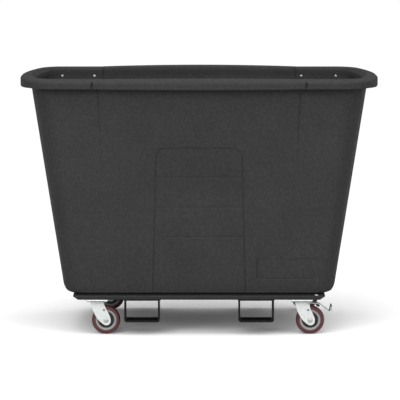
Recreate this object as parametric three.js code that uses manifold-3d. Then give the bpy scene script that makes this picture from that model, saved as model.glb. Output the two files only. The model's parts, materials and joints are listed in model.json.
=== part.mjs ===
// Laundry cart: a one-piece moulded polyethylene tub on a bolted steel undercarriage with
// four swivel casters (two with a foot brake) and four fork straps.
// Millimetres. +Z up. X runs along the length (left is -X), Y across it (front is -Y).
// The origin is on the floor, under the middle of the cart. The braked casters are at +X.
import * as THREE from 'three';
import { mergeVertices } from 'three/addons/utils/BufferGeometryUtils.js';
import Module from 'manifold-3d';

const wasm = await Module();
wasm.setup();

// ---------------------------------------------------------------- shared dimensions
const GAP = 0.3;                 // clearance left between neighbouring solids
const ROUND_FACETS = 16;         // facets round a wheel
const BOLT_FACETS = 8;           // facets round a bolt

// heights where the tub, undercarriage and casters meet
const TUB_Z0 = 181.3;            // underside of the tub floor
const WALL = 6;                  // moulded wall thickness
const FLOOR_Z = TUB_Z0 + WALL;   // top of the tub floor
const RAIL_Z0 = 160;             // underside of the rails
const RAIL_H = 19;
const RAIL_Z1 = RAIL_Z0 + RAIL_H;
const FRAME_HALF_W = 408;

// caster places and top plates
const CASTER_X = 455;
const CASTER_Y = 351;
const PLATE = { length: 102, width: 114, thick: 5, cornerR: 9, boltX: 38.1, boltY: 36 };
const PLATE_Z1 = RAIL_Z0 - GAP;
const PLATE_Z0 = PLATE_Z1 - PLATE.thick;
const BOLT_HOLE = { r: 6.2, facets: 6 };   // in the rails and the caster plates

// the four corners of the cart: sign of x, sign of y, name tag
const CORNERS = [
  { xSide: -1, ySide: -1, tag: 'front_left' },
  { xSide: 1, ySide: -1, tag: 'front_right' },
  { xSide: -1, ySide: 1, tag: 'rear_left' },
  { xSide: 1, ySide: 1, tag: 'rear_right' },
];

// four bolts per caster; the one nearest the cart's middle also holds the tub
const BOLTS = CORNERS.flatMap(({ xSide, ySide, tag }) =>
  [[-1, -1], [-1, 1], [1, -1], [1, 1]].map(([xSign, ySign]) => ({
    name: `caster_bolt_${tag}_${xSign < 0 ? 'a' : 'b'}${ySign < 0 ? '1' : '2'}`,
    x: xSide * CASTER_X + xSign * PLATE.boltX,
    y: ySide * CASTER_Y + ySign * PLATE.boltY,
    holdsTub: xSign === -xSide && ySign === -ySide,
  })));

// ---------------------------------------------------------------- mesh and solid helpers
// keep positions only and weld coincident vertices
function clean(geometry) {
  const bare = geometry.clone();
  for (const name of Object.keys(bare.attributes)) {
    if (name !== 'position') bare.deleteAttribute(name);
  }
  return mergeVertices(bare, 1e-3);
}

function solid(geometry) {
  const welded = clean(geometry);
  return new wasm.Manifold(new wasm.Mesh({
    numProp: 3,
    vertProperties: new Float32Array(welded.attributes.position.array),
    triVerts: new Uint32Array(welded.index.array),
  }));
}

function surface(manifold) {
  const mesh = manifold.getMesh();
  const geometry = new THREE.BufferGeometry();
  const positions = new Float32Array(mesh.vertProperties);
  geometry.setAttribute('position', new THREE.BufferAttribute(positions, 3));
  geometry.setIndex(new THREE.BufferAttribute(new Uint32Array(mesh.triVerts), 1));
  return geometry;
}

// ---------------------------------------------------------------- shape helpers
const box = (x0, x1, y0, y1, z0, z1) =>
  new THREE.BoxGeometry(x1 - x0, y1 - y0, z1 - z0)
    .translate((x0 + x1) / 2, (y0 + y1) / 2, (z0 + z1) / 2);

// upright cylinder
const post = (radius, z0, z1, x = 0, y = 0, facets = BOLT_FACETS) =>
  new THREE.CylinderGeometry(radius, radius, z1 - z0, facets)
    .rotateX(Math.PI / 2)
    .translate(x, y, (z0 + z1) / 2);

// cylinder along Y
const pinY = (radius, y0, y1, x, z, facets = BOLT_FACETS) =>
  new THREE.CylinderGeometry(radius, radius, y1 - y0, facets).translate(x, (y0 + y1) / 2, z);

const toVectors = (pairs) => pairs.map(([a, b]) => new THREE.Vector2(a, b));

// body of revolution about Y from [radius, y] pairs
const turnY = (pairs, facets = ROUND_FACETS) => new THREE.LatheGeometry(toVectors(pairs), facets);

// body of revolution about Z from [radius, z] pairs
const turnZ = (pairs, facets = ROUND_FACETS) => turnY(pairs, facets).rotateX(Math.PI / 2);

// plate cut from an XZ outline, running from y0 to y1; holes are [x, z, radius, facets]
function plateXZ(outline, y0, y1, holes = []) {
  const shape = new THREE.Shape(toVectors(outline));
  for (const [x, z, radius, facets] of holes) {
    const ring = [];
    for (let i = 0; i < facets; i++) {
      const angle = (-i / facets) * 2 * Math.PI;
      ring.push([x + radius * Math.cos(angle), z + radius * Math.sin(angle)]);
    }
    shape.holes.push(new THREE.Path(toVectors(ring)));
  }
  return new THREE.ExtrudeGeometry(shape, { depth: y1 - y0, bevelEnabled: false })
    .rotateX(Math.PI / 2)
    .translate(0, y1, 0);
}

// plate cut from an XY outline, running from z0 to z1
const plateXY = (outline, z0, z1) =>
  new THREE.ExtrudeGeometry(new THREE.Shape(toVectors(outline)), {
    depth: z1 - z0,
    bevelEnabled: false,
  }).translate(0, 0, z0);

const hexagon = (radius) => [0, 1, 2, 3, 4, 5].map((i) =>
  [radius * Math.cos((i * Math.PI) / 3), radius * Math.sin((i * Math.PI) / 3)]);

// anticlockwise quarter circle, both ends included
function quarterArc(centreA, centreB, radius, startDegrees, steps) {
  const points = [];
  for (let i = 0; i <= steps; i++) {
    const angle = ((startDegrees + (90 * i) / steps) * Math.PI) / 180;
    points.push([centreA + radius * Math.cos(angle), centreB + radius * Math.sin(angle)]);
  }
  return points;
}

// turn the faces round if they enclose a negative volume
function faceOutward(geometry) {
  const positions = geometry.attributes.position;
  const index = geometry.index.array;
  const corner = (i) => new THREE.Vector3().fromBufferAttribute(positions, index[i]);
  let volume = 0;
  for (let i = 0; i < index.length; i += 3) {
    volume += corner(i).dot(corner(i + 1).cross(corner(i + 2)));
  }
  if (volume < 0) {
    for (let i = 0; i < index.length; i += 3) {
      [index[i], index[i + 1]] = [index[i + 1], index[i]];
    }
  }
  return geometry;
}

const meanPoint = (points) =>
  points[0].map((_, axis) => points.reduce((sum, p) => sum + p[axis], 0) / points.length);

// skin over a stack of equal-length closed loops, closed by a fan of faces at each end
function loft(loops) {
  const count = loops[0].length;
  const lastStart = (loops.length - 1) * count;
  const points = [...loops.flat(), meanPoint(loops[0]), meanPoint(loops[loops.length - 1])];
  const firstCentre = points.length - 2;
  const lastCentre = points.length - 1;
  const index = [];
  for (let i = 0; i < count; i++) {
    const next = (i + 1) % count;
    for (let start = 0; start < lastStart; start += count) {
      const here = start + i;
      const beside = start + next;
      index.push(here, beside, beside + count, here, beside + count, here + count);
    }
    index.push(next, i, firstCentre);
    index.push(lastStart + i, lastStart + next, lastCentre);
  }
  const geometry = new THREE.BufferGeometry();
  const positions = new Float32Array(points.flat());
  geometry.setAttribute('position', new THREE.BufferAttribute(positions, 3));
  geometry.setIndex(index);
  return faceOutward(geometry);
}

// ---------------------------------------------------------------- materials
const finish = (settings) => () => new THREE.MeshStandardMaterial(settings);
const plastic = finish({ color: 0x3a3a3b, roughness: 0.62, metalness: 0.0 });
const blackPaint = finish({ color: 0x262627, roughness: 0.42, metalness: 0.15 });
const zinc = finish({ color: 0xc9ced0, roughness: 0.3, metalness: 0.95 });
const brightSteel = finish({ color: 0xdadcdf, roughness: 0.2, metalness: 1.0 });
const corePlastic = finish({ color: 0xb3aeb0, roughness: 0.5, metalness: 0.0 });
const urethane = finish({ color: 0x5a2630, roughness: 0.45, metalness: 0.0 });
const rubber = finish({ color: 0x1c1c1c, roughness: 0.8, metalness: 0.0 });

const group = new THREE.Group();

function add(name, geometry, material, parent = group) {
  const welded = clean(geometry);
  welded.computeVertexNormals();
  const mesh = new THREE.Mesh(welded, material());
  mesh.name = name;
  parent.add(mesh);
}

// ---------------------------------------------------------------- tub dimensions
const RIM_TOP = 1147;            // top of the rolled rim
const SKIRT_Z = 1091;            // lower edge of the rim skirt
const HALF_L0 = 616;             // half length at the floor, on the centre line
const TAPER_L = 0.158;           // growth of that half length per mm of height
const HALF_W0 = 356;             // half width at the floor
const TAPER_W = 0.0164;          // growth of that half width per mm of height
const END_BOW0 = 30;             // how far the end walls bulge at the floor
const END_BOW1 = 50;             // ... and at the rim
const CORNER0 = 70;              // plan corner radius at the floor
const CORNER1 = 85;              // ... and at the rim
const FOOT_R_OUT = 11;           // rounding between floor and walls, outside
const FOOT_R_IN = 12;            // ... and inside
const STEP_X = 444;              // half length of the long walls' proud middle, at the rim
const STEP_RAMP = 6;             // length over which that step fades out
const STEP_LEAN = 0.0413;        // how the step leans in per mm below BOW_Z1
const STEP_H = 8;                // how proud the middle section is at its edge, at the rim
const SIDE_BOW = 36;             // extra bulge of the long walls at the rim
const BOW_Z0 = 650;              // the proud section fades out at this height
const BOW_Z1 = 1085;             // and is full from this height
const RIM_RISE = 5;              // the rim stands this much higher mid-way along the long sides
const RIM_OUT = 49;              // rim overhang outside the wall
const GROOVE = { x: 476, width: 10, depth: 6, ramp: 1 };   // narrow groove across the rim
const CORNER_STEPS = 4;
const ARCH = { z0: 205, top: 836, halfTop: 192, halfBottom: 208, bottom: 214, cornerR: 46, depth: 3 };
const PANEL = { x0: 259, x1: 525, z0: 244, z1: 336, depth: 1 };   // blank recessed panel
const CUTTER_OUT = 14;           // how far the wall cutters stand outside the wall
const FLOOR_HOLE_R = 5.6;
const SCREW_XS = [-637, -488, 476, 637];
const SCREW_Z = 1098;
const SCREW_HOLE_R = 3.2;

// ---------------------------------------------------------------- tub shape
const clamp01 = (t) => Math.min(1, Math.max(0, t));
const mix = (start, end, t) => start + (end - start) * t;
const halfLength = (z) => HALF_L0 + TAPER_L * (z - TUB_Z0);
const halfWidth = (z) => HALF_W0 + TAPER_W * (z - TUB_Z0);
const heightShare = (z) => clamp01((z - TUB_Z0) / (SKIRT_Z - TUB_Z0));
const proudShare = (z) => clamp01((z - BOW_Z0) / (BOW_Z1 - BOW_Z0));
const leanScale = (z) => 1 - (STEP_LEAN * (BOW_Z1 - Math.min(z, BOW_Z1))) / STEP_X;
const screwFaceY = halfWidth(SCREW_Z - 10) - WALL - 1.1;   // just inside the rear wall

// how far the middle section stands out; rimX is x measured at the rim
function proudness(rimX, z) {
  const away = Math.abs(rimX);
  if (away >= STEP_X + STEP_RAMP) return 0;
  const edge = away <= STEP_X ? 1 : (STEP_X + STEP_RAMP - away) / STEP_RAMP;
  const bulge = SIDE_BOW * (1 - Math.min(1, (away / STEP_X) ** 2));
  return proudShare(z) * edge * (STEP_H + bulge);
}

// places along half of a long wall, measured at the rim
const GROOVE_HALF = GROOVE.width / 2;
const SIDE_XS = [
  0, 150, 300, STEP_X, STEP_X + STEP_RAMP,
  GROOVE.x - GROOVE_HALF - GROOVE.ramp, GROOVE.x - GROOVE_HALF,
  GROOVE.x + GROOVE_HALF, GROOVE.x + GROOVE_HALF + GROOVE.ramp,
];
const SIDE_END = SIDE_XS[SIDE_XS.length - 1];

// Closed plan loop at height z, offset outside the wall's outer face. Its plan size is that
// of the wall at sizeZ. drop lowers the proud section; rise lifts the long sides' middle.
function tubLoop({ offset, z, sizeZ = z, grooved = false, drop = 0, rise = 0 }) {
  const length = halfLength(sizeZ) + offset;
  const width = halfWidth(sizeZ) + offset;
  const radius = mix(CORNER0, CORNER1, heightShare(sizeZ)) + offset;
  const bow = mix(END_BOW0, END_BOW1, heightShare(sizeZ)) + Math.max(0, offset) * 0.35;

  // one quarter, from the long side's middle to the end's middle
  const quarter = [];
  for (const rimX of SIDE_XS) {
    const inGroove = Math.abs(rimX - GROOVE.x) <= GROOVE_HALF + 1e-6;
    const y = width + proudness(rimX, sizeZ) - (grooved && inGroove ? GROOVE.depth : 0);
    const crown = Math.max(0, 1 - (rimX / (STEP_X + STEP_RAMP)) ** 2);
    const lowered = rimX < STEP_X + 1 ? z - drop : z;
    quarter.push([rimX * leanScale(sizeZ), y, lowered + rise * crown]);
  }
  for (let i = 0; i <= CORNER_STEPS; i++) {
    const angle = Math.PI / 2 - ((i / CORNER_STEPS) * Math.PI) / 2;
    quarter.push([
      length - radius + radius * Math.cos(angle),
      width - radius + radius * Math.sin(angle),
      z,
    ]);
  }
  for (const share of [0.5, 0]) quarter.push([length, (width - radius) * share, z]);

  // draw the corners back so that the end wall bulges
  const bent = quarter.map(([x, y, pointZ]) => {
    const share = clamp01((x - SIDE_END) / (length - SIDE_END));
    return [x - bow * share * (y / width) ** 2, y, pointZ];
  });
  const mirror = (points, xSign, ySign) =>
    points.map(([x, y, pointZ]) => [xSign * x, ySign * y, pointZ]);
  return [
    ...bent,
    ...mirror(bent.slice(0, -1).reverse(), 1, -1),
    ...mirror(bent.slice(1), -1, -1),
    ...mirror(bent.slice(1, -1).reverse(), -1, 1),
  ];
}

// up the outside, over the rim and down the inside
function tubShell() {
  const wall = (offset, z) => tubLoop({ offset, z });
  // the rim keeps the plan size that the wall has at the skirt edge
  const rim = (offset, z, extra = {}) => tubLoop({ offset, z, sizeZ: SKIRT_Z, ...extra });
  const crest = RIM_TOP - RIM_RISE;
  const risen = { rise: RIM_RISE };
  return solid(loft([
    wall(-FOOT_R_OUT, TUB_Z0),
    wall(-FOOT_R_OUT * 0.3, TUB_Z0 + FOOT_R_OUT * 0.28),
    wall(0, TUB_Z0 + FOOT_R_OUT),
    wall(0, BOW_Z0),
    wall(0, BOW_Z1),
    // underside of the rim and inner face of its skirt
    rim(5, 1124),
    rim(26, 1127),
    rim(42, 1114),
    rim(43, SKIRT_Z, { drop: 1 }),
    // outer face and top of the rim
    rim(RIM_OUT, SKIRT_Z, { drop: 1, grooved: true }),
    rim(RIM_OUT, 1114, { grooved: true }),
    rim(37, 1132, { grooved: true }),
    rim(20, crest - 6, risen),
    rim(2, crest, risen),
    rim(-9, crest - 8, risen),
    rim(-11, 1119),
    rim(-WALL, 1114),
    // inside
    wall(-WALL, BOW_Z1),
    wall(-WALL, BOW_Z0),
    wall(-WALL, FLOOR_Z + FOOT_R_IN),
    wall(-WALL - FOOT_R_IN * 0.29, FLOOR_Z + FOOT_R_IN * 0.29),
    wall(-WALL - FOOT_R_IN, FLOOR_Z),
  ]));
}

// cutter following a long wall (side -1 front, +1 rear); levels are [z, x0, x1]
function wallCutter(levels, depth, side) {
  const steps = [0, 1, 2, 3, 4];
  return solid(loft(levels.map(([z, x0, x1]) => {
    const wallPoint = (step, offset) => {
      const x = mix(x0, x1, step / 4);
      return [x, side * (halfWidth(z) + proudness(x / leanScale(z), z) + offset), z];
    };
    return [
      ...steps.map((step) => wallPoint(step, CUTTER_OUT)),
      ...steps.toReversed().map((step) => wallPoint(step, -depth)),
    ];
  })));
}

// half width of the arched recess, with its rounded upper corners
function archHalf(z) {
  const below = ARCH.top - z;
  const half = mix(ARCH.halfTop, ARCH.halfBottom, clamp01(below / (ARCH.top - ARCH.bottom)));
  if (below >= ARCH.cornerR) return half;
  const rise = ARCH.cornerR - below;
  return half - ARCH.cornerR + Math.sqrt(Math.max(0, ARCH.cornerR ** 2 - rise ** 2));
}

function tubGeometry() {
  let tub = tubShell();
  const archLevels = [
    ARCH.z0, BOW_Z0, ARCH.top - ARCH.cornerR, ARCH.top - 24, ARCH.top - 8, ARCH.top - 0.5,
  ].map((z) => [z, -archHalf(z), archHalf(z)]);
  for (const side of [-1, 1]) {
    tub = tub.subtract(wallCutter(archLevels, ARCH.depth, side));
    // the panel is at +X on the front wall and at -X on the rear wall
    const [x0, x1] = side < 0 ? [PANEL.x0, PANEL.x1] : [-PANEL.x1, -PANEL.x0];
    const panelLevels = [[PANEL.z0, x0, x1], [PANEL.z1, x0, x1]];
    tub = tub.subtract(wallCutter(panelLevels, PANEL.depth, side));
  }
  for (const { x, y } of BOLTS.filter((bolt) => bolt.holdsTub)) {
    tub = tub.subtract(solid(post(FLOOR_HOLE_R, TUB_Z0 - 5, FLOOR_Z + 5, x, y)));
  }
  for (const x of SCREW_XS) {
    const hole = pinY(SCREW_HOLE_R, screwFaceY - 8, screwFaceY + 14, x, SCREW_Z);
    tub = tub.subtract(solid(hole));
  }
  return surface(tub);
}
add('tub', tubGeometry(), plastic);

// ---------------------------------------------------------------- base frame
const RAIL_W = 102;
const RAIL_T = 3;
const RAIL_HALF_L = 560;
const RAIL_CLIP = { x: 22, z: 15 };   // sloping cut at each rail end
const CROSS_XS = [-505, -168, 168, 505];
const CROSS_W = 50;
const CROSS_TOP = 181;
const CROSS_T = 3;
const STUD = { x: 522, y: 392, r: 9, height: 4 };   // domed stud on each rail, braked end

// hollow rail along X with sloping lower corners
function rail(side) {
  const y0 = side < 0 ? -FRAME_HALF_W : FRAME_HALF_W - RAIL_W;
  const y1 = y0 + RAIL_W;
  const outline = [
    [-RAIL_HALF_L + RAIL_CLIP.x, RAIL_Z0], [RAIL_HALF_L - RAIL_CLIP.x, RAIL_Z0],
    [RAIL_HALF_L, RAIL_Z0 + RAIL_CLIP.z], [RAIL_HALF_L, RAIL_Z1],
    [-RAIL_HALF_L, RAIL_Z1], [-RAIL_HALF_L, RAIL_Z0 + RAIL_CLIP.z],
  ];
  const hollow = box(-700, 700, y0 + RAIL_T, y1 - RAIL_T, RAIL_Z0 + RAIL_T, RAIL_Z1 - RAIL_T);
  return solid(plateXZ(outline, y0, y1)).subtract(solid(hollow));
}

// top web and two flanges of a cross member centred at x
function crossMemberParts(x) {
  const between = FRAME_HALF_W - RAIL_W;      // half the distance between the rails
  const weld = between + 1;                   // runs into the rails so that all is one piece
  const x0 = x - CROSS_W / 2;
  const x1 = x + CROSS_W / 2;
  const parts = [box(x0, x1, -between, between, CROSS_TOP - CROSS_T, CROSS_TOP)];
  for (const start of [x0, x1 - CROSS_T]) {
    const end = start + CROSS_T;
    parts.push(box(start, end, -weld, weld, RAIL_Z0 + 1, RAIL_Z1 - 1));
    parts.push(box(start, end, -between, between, RAIL_Z0 + 1, CROSS_TOP - 1));
  }
  return parts.map(solid);
}

function stud(side) {
  const profile = [
    [0, RAIL_Z1 - 1], [STUD.r, RAIL_Z1 - 1], [STUD.r, RAIL_Z1 + 0.8],
    [STUD.r * 0.7, RAIL_Z1 + STUD.height * 0.8], [0, RAIL_Z1 + STUD.height],
  ];
  return solid(turnZ(profile, BOLT_FACETS)).translate(STUD.x, side * STUD.y, 0);
}

function frameGeometry() {
  let frame = rail(-1).add(rail(1));
  for (const part of CROSS_XS.flatMap(crossMemberParts)) frame = frame.add(part);
  for (const { x, y, holdsTub } of BOLTS) {
    // tub bolts pass right through the rail, the others only through its underside
    const top = RAIL_Z0 + (holdsTub ? RAIL_H + 5 : RAIL_T + 3);
    const hole = post(BOLT_HOLE.r, RAIL_Z0 - 5, top, x, y, BOLT_HOLE.facets);
    frame = frame.subtract(solid(hole));
  }
  return surface(frame.add(stud(-1)).add(stud(1)));
}
add('base_frame', frameGeometry(), blackPaint);

// ---------------------------------------------------------------- fork straps
const STRAP_X = 254;
const STRAP_HALF_W = 79;         // along X
const STRAP_T = 8;               // bent bar
const STRAP_TOP_T = 4;           // closing plate against the rail
const STRAP_D = 100;             // along Y
const STRAP_Z0 = 59;
const STRAP_R = 12;

// U outline, inset from the outside of the bar
function strapOutline(inset, top) {
  const centreX = STRAP_HALF_W - STRAP_R;
  const centreZ = STRAP_Z0 + STRAP_R;
  return [
    [-STRAP_HALF_W + inset, top],
    ...quarterArc(-centreX, centreZ, STRAP_R - inset, 180, 4),
    ...quarterArc(centreX, centreZ, STRAP_R - inset, 270, 4),
    [STRAP_HALF_W - inset, top],
  ];
}

function strapGeometry() {
  const top = RAIL_Z0 - GAP;
  const opening = plateXZ(strapOutline(STRAP_T, top - STRAP_TOP_T), -5, STRAP_D + 5);
  return surface(solid(plateXZ(strapOutline(0, top), 0, STRAP_D)).subtract(solid(opening)));
}

for (const { xSide, ySide, tag } of CORNERS) {
  const y0 = ySide < 0 ? -FRAME_HALF_W : FRAME_HALF_W - STRAP_D;
  add(`fork_strap_${tag}`, strapGeometry().translate(xSide * STRAP_X, y0, 0), blackPaint);
}

// ---------------------------------------------------------------- caster bolts
const SHANK_R = 4.8;
const SPACER_R = 11;

function boltGeometry(holdsTub) {
  const seat = PLATE_Z0 - GAP;                  // the hexagon head seats here
  const dome = FLOOR_Z + GAP;
  const profile = [[0, seat - 6.2], [SHANK_R, seat - 6.2]];
  if (holdsTub) {
    // long bolt: spacer between rail and tub floor, wide washer and dome inside the tub
    profile.push(
      [SHANK_R, RAIL_Z1 + GAP], [SPACER_R, RAIL_Z1 + GAP],
      [SPACER_R, TUB_Z0 - GAP], [SHANK_R, TUB_Z0 - GAP], [SHANK_R, dome],
      [14, dome], [14, dome + 2], [10.5, dome + 2], [7, dome + 5], [0, dome + 6.4],
    );
  } else {
    profile.push([SHANK_R, RAIL_Z0 + 12], [0, RAIL_Z0 + 12]);
  }
  const head = plateXY(hexagon(9), seat - 6.4, seat);
  return surface(solid(turnZ(profile, BOLT_FACETS)).add(solid(head)));
}

for (const { name, x, y, holdsTub } of BOLTS) {
  add(name, boltGeometry(holdsTub).translate(x, y, 0), zinc);
}

// ---------------------------------------------------------------- casters
// Each is drawn about its own swivel axis, with the wheel trailing towards +X.
const TRAIL = 40;
const WHEEL_R = 63.5;
const WHEEL_HALF_W = 16;
const CORE_R = 46.5;
const CROWN_Z1 = 149;            // top of the fork crown
const CROWN_Z0 = 144;
const CROWN_X0 = -30;
const CROWN_X1 = 27;
const LEG_IN = 19;               // inner and outer faces of the fork legs, from the middle
const LEG_OUT = 23.5;
const PEDAL = { x: 32, z: 137.5, barrelR: 5.2, pinR: 2.9, boreR: 3.5, halfW: 17.5 };

// top plate with four bolt holes and a countersunk kingpin hole
function plateGeometry() {
  const { length, width, cornerR, boltX, boltY } = PLATE;
  const cornerX = length / 2 - cornerR;
  const cornerY = width / 2 - cornerR;
  const outline = [
    ...quarterArc(cornerX, cornerY, cornerR, 0, 2),
    ...quarterArc(-cornerX, cornerY, cornerR, 90, 2),
    ...quarterArc(-cornerX, -cornerY, cornerR, 180, 2),
    ...quarterArc(cornerX, -cornerY, cornerR, 270, 2),
  ];
  let plate = solid(plateXY(outline, PLATE_Z0, PLATE_Z1));
  for (const x of [-boltX, boltX]) {
    for (const y of [-boltY, boltY]) {
      const hole = post(BOLT_HOLE.r, PLATE_Z0 - 3, PLATE_Z1 + 3, x, y, BOLT_HOLE.facets);
      plate = plate.subtract(solid(hole));
    }
  }
  const countersink = [
    [0, PLATE_Z0 - 2], [6.7, PLATE_Z0 - 2], [6.7, PLATE_Z0 + 1],
    [10.2, PLATE_Z1 - 0.5], [10.2, PLATE_Z1 + 2], [0, PLATE_Z1 + 2],
  ];
  return surface(plate.subtract(solid(turnZ(countersink, BOLT_FACETS))));
}

const kingpinGeometry = () => turnZ([
  [0, 130], [6, 130], [6, 132], [10, 132], [10, CROWN_Z0 - GAP],
  [6, CROWN_Z0 - GAP], [6, PLATE_Z0 + 1.2],
  [9.5, PLATE_Z1 - 0.7], [9.5, PLATE_Z1 - 0.2], [0, PLATE_Z1 - 0.2],
], BOLT_FACETS);

const raceGeometry = () => turnZ([
  [12.5, CROWN_Z1 + GAP], [29, CROWN_Z1 + GAP],
  [32, PLATE_Z0 - GAP], [12.5, PLATE_Z0 - GAP], [12.5, CROWN_Z1 + GAP],
]);

// fork leg outline, [x, z]; the upper +X edge differs on a braked caster
const LEG_COMMON = [
  [CROWN_X0, CROWN_Z1], [-29, 141], [-18, 107], [-10, 89.5], [-1.5, 73], [12.5, 57.5],
  [26, 46], [34, 41.5], [42, 40], [50, 41.6], [56.5, 46], [60.6, 54],
  [61.5, 65], [58.5, 77], [52, 93], [43, 110],
];
const LEG_EDGE_BRAKED = [[38.6, 124], [38.4, 130], [38.4, 142], [33.5, CROWN_Z1]];
const LEG_EDGE_PLAIN = [[31, 136], [CROWN_X1, CROWN_Z1]];

function forkGeometry(braked) {
  const outline = [...LEG_COMMON, ...(braked ? LEG_EDGE_BRAKED : LEG_EDGE_PLAIN)];
  const holes = [[TRAIL, WHEEL_R, 6.3, BOLT_FACETS], [31, 109, 4.6, 10]];
  if (braked) holes.push([PEDAL.x, PEDAL.z, PEDAL.boreR, BOLT_FACETS]);
  const crownHalf = LEG_OUT - 1;
  const crown = box(CROWN_X0, CROWN_X1, -crownHalf, crownHalf, CROWN_Z0, CROWN_Z1);
  return surface(solid(plateXZ(outline, LEG_IN, LEG_OUT, holes))
    .add(solid(plateXZ(outline, -LEG_OUT, -LEG_IN, holes)))
    .add(solid(crown))
    .subtract(solid(post(6.8, CROWN_Z0 - 4, CROWN_Z1 + 4))));
}

// round head at -Y, hexagon nut at +Y
function axleGeometry() {
  const shaft = turnY([
    [0, -31], [6.5, -31], [9.5, -28], [9.5, -LEG_OUT - GAP],
    [5.8, -LEG_OUT - GAP], [5.8, 32], [0, 32],
  ], BOLT_FACETS);
  const nut = plateXZ(hexagon(9.6), LEG_OUT + GAP, 30);
  return surface(solid(shaft).add(solid(nut))).translate(TRAIL, 0, WHEEL_R);
}

// hub, thin web and rim
const coreGeometry = () => turnY([
  [6.6, -17.5], [14, -17.5], [14, -5], [36, -5], [36, -14.5], [CORE_R, -14.5],
  [CORE_R, 14.5], [36, 14.5], [36, 5], [14, 5], [14, 17.5], [6.6, 17.5], [6.6, -17.5],
]);

const treadGeometry = () => turnY([
  [CORE_R + GAP, -WHEEL_HALF_W], [59, -WHEEL_HALF_W], [WHEEL_R, -WHEEL_HALF_W + 5],
  [WHEEL_R, WHEEL_HALF_W - 5], [59, WHEEL_HALF_W], [CORE_R + GAP, WHEEL_HALF_W],
  [CORE_R + GAP, -WHEEL_HALF_W],
]);

// brake outlines, [x, z]: arm over the wheel, wider tread pad with turned-up lip, shoe
const ARM_OUTLINE = [
  [31, 142.1], [76.3, 139.1], [127, 100.8], [132.8, 130], [136, 129.5],
  [129.3, 96.1], [75.5, 136], [34, 138.4], [31, 138.1],
];
const PAD_OUTLINE = [
  [82, 134.8], [127, 100.8], [132.8, 130], [136, 129.5], [129.3, 96.1], [82, 131.2],
];
const SHOE_OUTLINE = [[63, 136.3], [75.3, 135.65], [84.6, 128.6], [79.6, 120.4], [67.7, 126]];

function pedalGeometry() {
  const { x, z, barrelR, boreR, halfW } = PEDAL;
  return surface(solid(plateXZ(ARM_OUTLINE, -halfW, halfW))
    .add(solid(plateXZ(PAD_OUTLINE, -25, 25)))
    .add(solid(pinY(barrelR, -halfW, halfW, x, z, 12)))
    .subtract(solid(pinY(boreR, -30, 30, x, z))));
}

const shoeGeometry = () => plateXZ(SHOE_OUTLINE, -12, 12);

const pedalPinGeometry = () => turnY([
  [0, -27], [5.4, -27], [5.4, -LEG_OUT - GAP], [PEDAL.pinR, -LEG_OUT - GAP],
  [PEDAL.pinR, LEG_OUT + GAP], [5.4, LEG_OUT + GAP], [5.4, 27], [0, 27],
], BOLT_FACETS).translate(PEDAL.x, 0, PEDAL.z);

for (const { xSide, ySide, tag } of CORNERS) {
  const braked = xSide > 0;
  const caster = new THREE.Group();
  caster.position.set(xSide * CASTER_X, ySide * CASTER_Y, 0);
  group.add(caster);
  add(`caster_plate_${tag}`, plateGeometry(), zinc, caster);
  add(`kingpin_${tag}`, kingpinGeometry(), zinc, caster);
  add(`ball_race_${tag}`, raceGeometry(), zinc, caster);
  add(`caster_fork_${tag}`, forkGeometry(braked), zinc, caster);
  add(`axle_bolt_${tag}`, axleGeometry(), zinc, caster);

  const wheel = new THREE.Group();
  wheel.position.set(TRAIL, 0, WHEEL_R);
  caster.add(wheel);
  add(`wheel_core_${tag}`, coreGeometry(), corePlastic, wheel);
  add(`wheel_tread_${tag}`, treadGeometry(), urethane, wheel);

  if (braked) {
    const sideName = ySide < 0 ? 'front' : 'rear';
    add(`brake_pedal_${sideName}`, pedalGeometry(), brightSteel, caster);
    add(`brake_shoe_${sideName}`, shoeGeometry(), rubber, caster);
    add(`pedal_pin_${sideName}`, pedalPinGeometry(), zinc, caster);
  }
}

// ---------------------------------------------------------------- rim screws
// Pointing to +Y, with the head just inside the rear wall.
const screwGeometry = () => turnY([
  [0, -GAP - 3.6], [4.5, -GAP - 2.6], [6.2, -GAP], [2.6, -GAP], [2.6, 20], [0, 22],
], BOLT_FACETS);

SCREW_XS.forEach((x, i) => {
  const screw = screwGeometry().translate(x, screwFaceY, SCREW_Z);
  add(`rim_screw_${'abcd'[i]}`, screw, brightSteel);
});

export default group;
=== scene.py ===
"""Looks of a laundry cart: a moulded tub on a steel base frame with four swivel casters.

X runs along the cart (+X right), the front faces -Y and Z is up from the floor. Lengths are
millimetres, and piece() turns them into metres. The floor, camera and lights are in metres.
A solid is a pair (vertices, faces) until piece() makes an object of it.
"""
import bpy
import json
import math
import random
import numpy as np
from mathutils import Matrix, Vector
from mathutils.geometry import tessellate_polygon


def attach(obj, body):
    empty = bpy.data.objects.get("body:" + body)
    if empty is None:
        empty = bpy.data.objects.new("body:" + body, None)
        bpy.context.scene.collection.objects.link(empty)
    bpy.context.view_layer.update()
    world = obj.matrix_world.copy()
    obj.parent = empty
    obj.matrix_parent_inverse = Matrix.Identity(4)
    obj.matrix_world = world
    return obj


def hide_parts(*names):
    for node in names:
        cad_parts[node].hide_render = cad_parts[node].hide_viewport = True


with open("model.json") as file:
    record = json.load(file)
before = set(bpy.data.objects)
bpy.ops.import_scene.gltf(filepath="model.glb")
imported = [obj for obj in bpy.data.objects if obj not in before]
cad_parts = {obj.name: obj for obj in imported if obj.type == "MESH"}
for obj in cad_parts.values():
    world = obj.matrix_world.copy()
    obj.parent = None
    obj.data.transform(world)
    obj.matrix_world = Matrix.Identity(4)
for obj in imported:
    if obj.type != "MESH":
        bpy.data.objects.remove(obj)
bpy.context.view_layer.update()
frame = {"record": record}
random.seed(7)
rng = np.random.default_rng(7)

MM = 0.001
QUARTER = math.pi / 2
SIDES = ((-1, "front"), (1, "rear"))
ENDS = ((-1, "left"), (1, "right"))


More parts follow.
